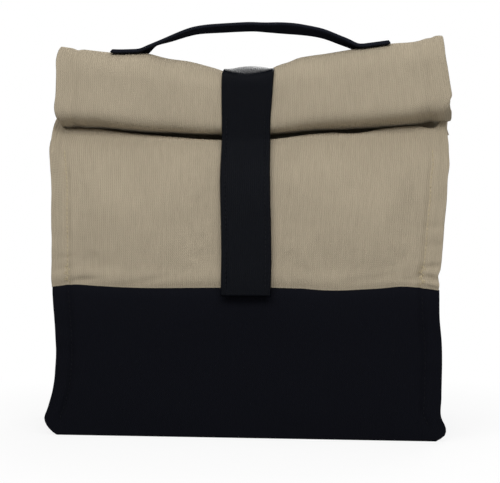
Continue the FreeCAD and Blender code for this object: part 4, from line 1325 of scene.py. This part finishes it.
class LUNCHBAG_OT_stage(bpy.types.Operator):
    """Set the floor, the studio light and the camera"""

    bl_idname = "lunchbag.stage"
    bl_label = "Floor, light and camera"

    def execute(self, context):
        scene = context.scene
        reach = 3
        corners = [(x * reach, y * reach, 0) for x, y in ((-1, -1), (1, -1), (1, 1), (-1, 1))]
        floor = new_object("floor", corners, [(0, 1, 2, 3)])
        floor.data.materials.append(floor_material())
        scene.world = scene.world or bpy.data.worlds.new("studio")
        scene.world.use_nodes = True
        tree = scene.world.node_tree
        tree.nodes.clear()
        strength = node(tree, "ShaderNodeMapRange", {"Value": seen_rays(tree), "To Min": 0.25,
                                                     "To Max": 1.0})
        sky = node(tree, "ShaderNodeBackground", {"Color": (*linear("#FFFFFF"), 1), "Strength": strength})
        node(tree, "ShaderNodeOutputWorld", {"Surface": sky})
        add_lamp("key_light", place=(0, -0.5, 0.56), aim=(0, 0, 0.19), width=0.9, height=0.25, watts=3.5)
        add_lamp("top_light", place=(0, -0.1, 1.5), aim=(0, 0, 0.12), width=1.0, height=1.0, watts=3)
        add_lamp("back_light", place=(0.2, 1.0, 0.9), aim=(0, 0, 0.15), width=0.8, height=0.8, watts=8)
        camera = bpy.data.objects.new("camera", bpy.data.cameras.new("camera"))
        scene.collection.objects.link(camera)
        camera.location = CAMERA_PLACE
        camera.rotation_euler = (CAMERA_AIM - CAMERA_PLACE).to_track_quat("-Z", "Y").to_euler()
        camera.data.sensor_width = CAMERA_SENSOR
        camera.data.lens = CAMERA_LENS
        scene.camera = camera
        scene.view_settings.view_transform = "Standard"
        return {"FINISHED"}


def seen_rays(tree):
    """1 on rays that show a surface or the backdrop, straight, through or reflected, and 0 on the rest."""
    rays = node(tree, "ShaderNodeLightPath").outputs
    direct = node(tree, "ShaderNodeMath", {0: rays["Is Camera Ray"], 1: rays["Is Transmission Ray"]},
                  operation="MAXIMUM")
    return node(tree, "ShaderNodeMath", {0: direct, 1: rays["Is Glossy Ray"]}, operation="MAXIMUM")


def floor_material():
    """White paper sweep: it takes the bag's soft shadow and fades to plain white away from it."""
    made, tree = new_material("white_paper_sweep")
    spot = node(tree, "ShaderNodeTexCoord")
    away = node(tree, "ShaderNodeVectorMath", {0: spot.outputs["Object"]}, operation="LENGTH")
    share = node(tree, "ShaderNodeMapRange", {"Value": away.outputs["Value"], "From Min": 0.14,
                                              "From Max": 0.32, "To Min": 0.84, "To Max": 1.0},
                 interpolation_type="SMOOTHSTEP")
    paper = node(tree, "ShaderNodeBsdfDiffuse", {"Color": (*linear("#F9F9F9"), 1)})
    dim = node(tree, "ShaderNodeBsdfDiffuse", {"Color": (*linear("#C4C4C4"), 1)})
    white = node(tree, "ShaderNodeEmission", {"Color": (*linear("#FFFFFF"), 1), "Strength": 1.0})
    shown = node(tree, "ShaderNodeMixShader", {0: share, 1: paper, 2: white})
    mixed = node(tree, "ShaderNodeMixShader", {0: seen_rays(tree), 1: dim, 2: shown})
    node(tree, "ShaderNodeOutputMaterial", {"Surface": mixed})
    return made


def add_lamp(name, place, aim, width, height, watts):
    """A soft box that looks at a point and stays out of the picture."""
    lamp = bpy.data.lights.new(name, "AREA")
    lamp.shape = "RECTANGLE"
    lamp.size, lamp.size_y = width, height
    lamp.energy = watts
    made = bpy.data.objects.new(name, lamp)
    made.visible_camera = False
    made.location = place
    made.rotation_euler = (Vector(aim) - Vector(place)).to_track_quat("-Z", "Y").to_euler()
    bpy.context.scene.collection.objects.link(made)


STEPS = (LUNCHBAG_OT_walls, LUNCHBAG_OT_sides, LUNCHBAG_OT_base, LUNCHBAG_OT_insulation, LUNCHBAG_OT_roll,
         LUNCHBAG_OT_strap, LUNCHBAG_OT_tapes, LUNCHBAG_OT_handle, LUNCHBAG_OT_stitching, LUNCHBAG_OT_stage)


class LUNCHBAG_PT_build(bpy.types.Panel):
    """Lists the steps that build the bag."""

    bl_idname = "LUNCHBAG_PT_build"
    bl_label = "Roll-top lunch bag"
    bl_space_type = "VIEW_3D"
    bl_region_type = "UI"
    bl_category = "Lunch bag"

    def draw(self, context):
        for step in STEPS:
            self.layout.operator(step.bl_idname)
        for group in (context.scene.lunchbag_sizes, context.scene.lunchbag_colours):
            box = self.layout.box()
            for name in group.__annotations__:
                box.prop(group, name)


CLASSES = (LUNCHBAG_PG_sizes, LUNCHBAG_PG_colours, *STEPS, LUNCHBAG_PT_build)


def register():
    """Adds the bag's operators, panel and settings to Blender."""
    for made in CLASSES:
        bpy.utils.register_class(made)
    bpy.types.Scene.lunchbag_sizes = PointerProperty(type=LUNCHBAG_PG_sizes)
    bpy.types.Scene.lunchbag_colours = PointerProperty(type=LUNCHBAG_PG_colours)


def unregister():
    """Takes them out again."""
    del bpy.types.Scene.lunchbag_colours
    del bpy.types.Scene.lunchbag_sizes
    for made in reversed(CLASSES):
        bpy.utils.unregister_class(made)


def main():
    """Builds the bag step by step."""
    register()
    for step in STEPS:
        group, name = step.bl_idname.split(".")
        getattr(getattr(bpy.ops, group), name)()


if __name__ == "__main__":
    main()
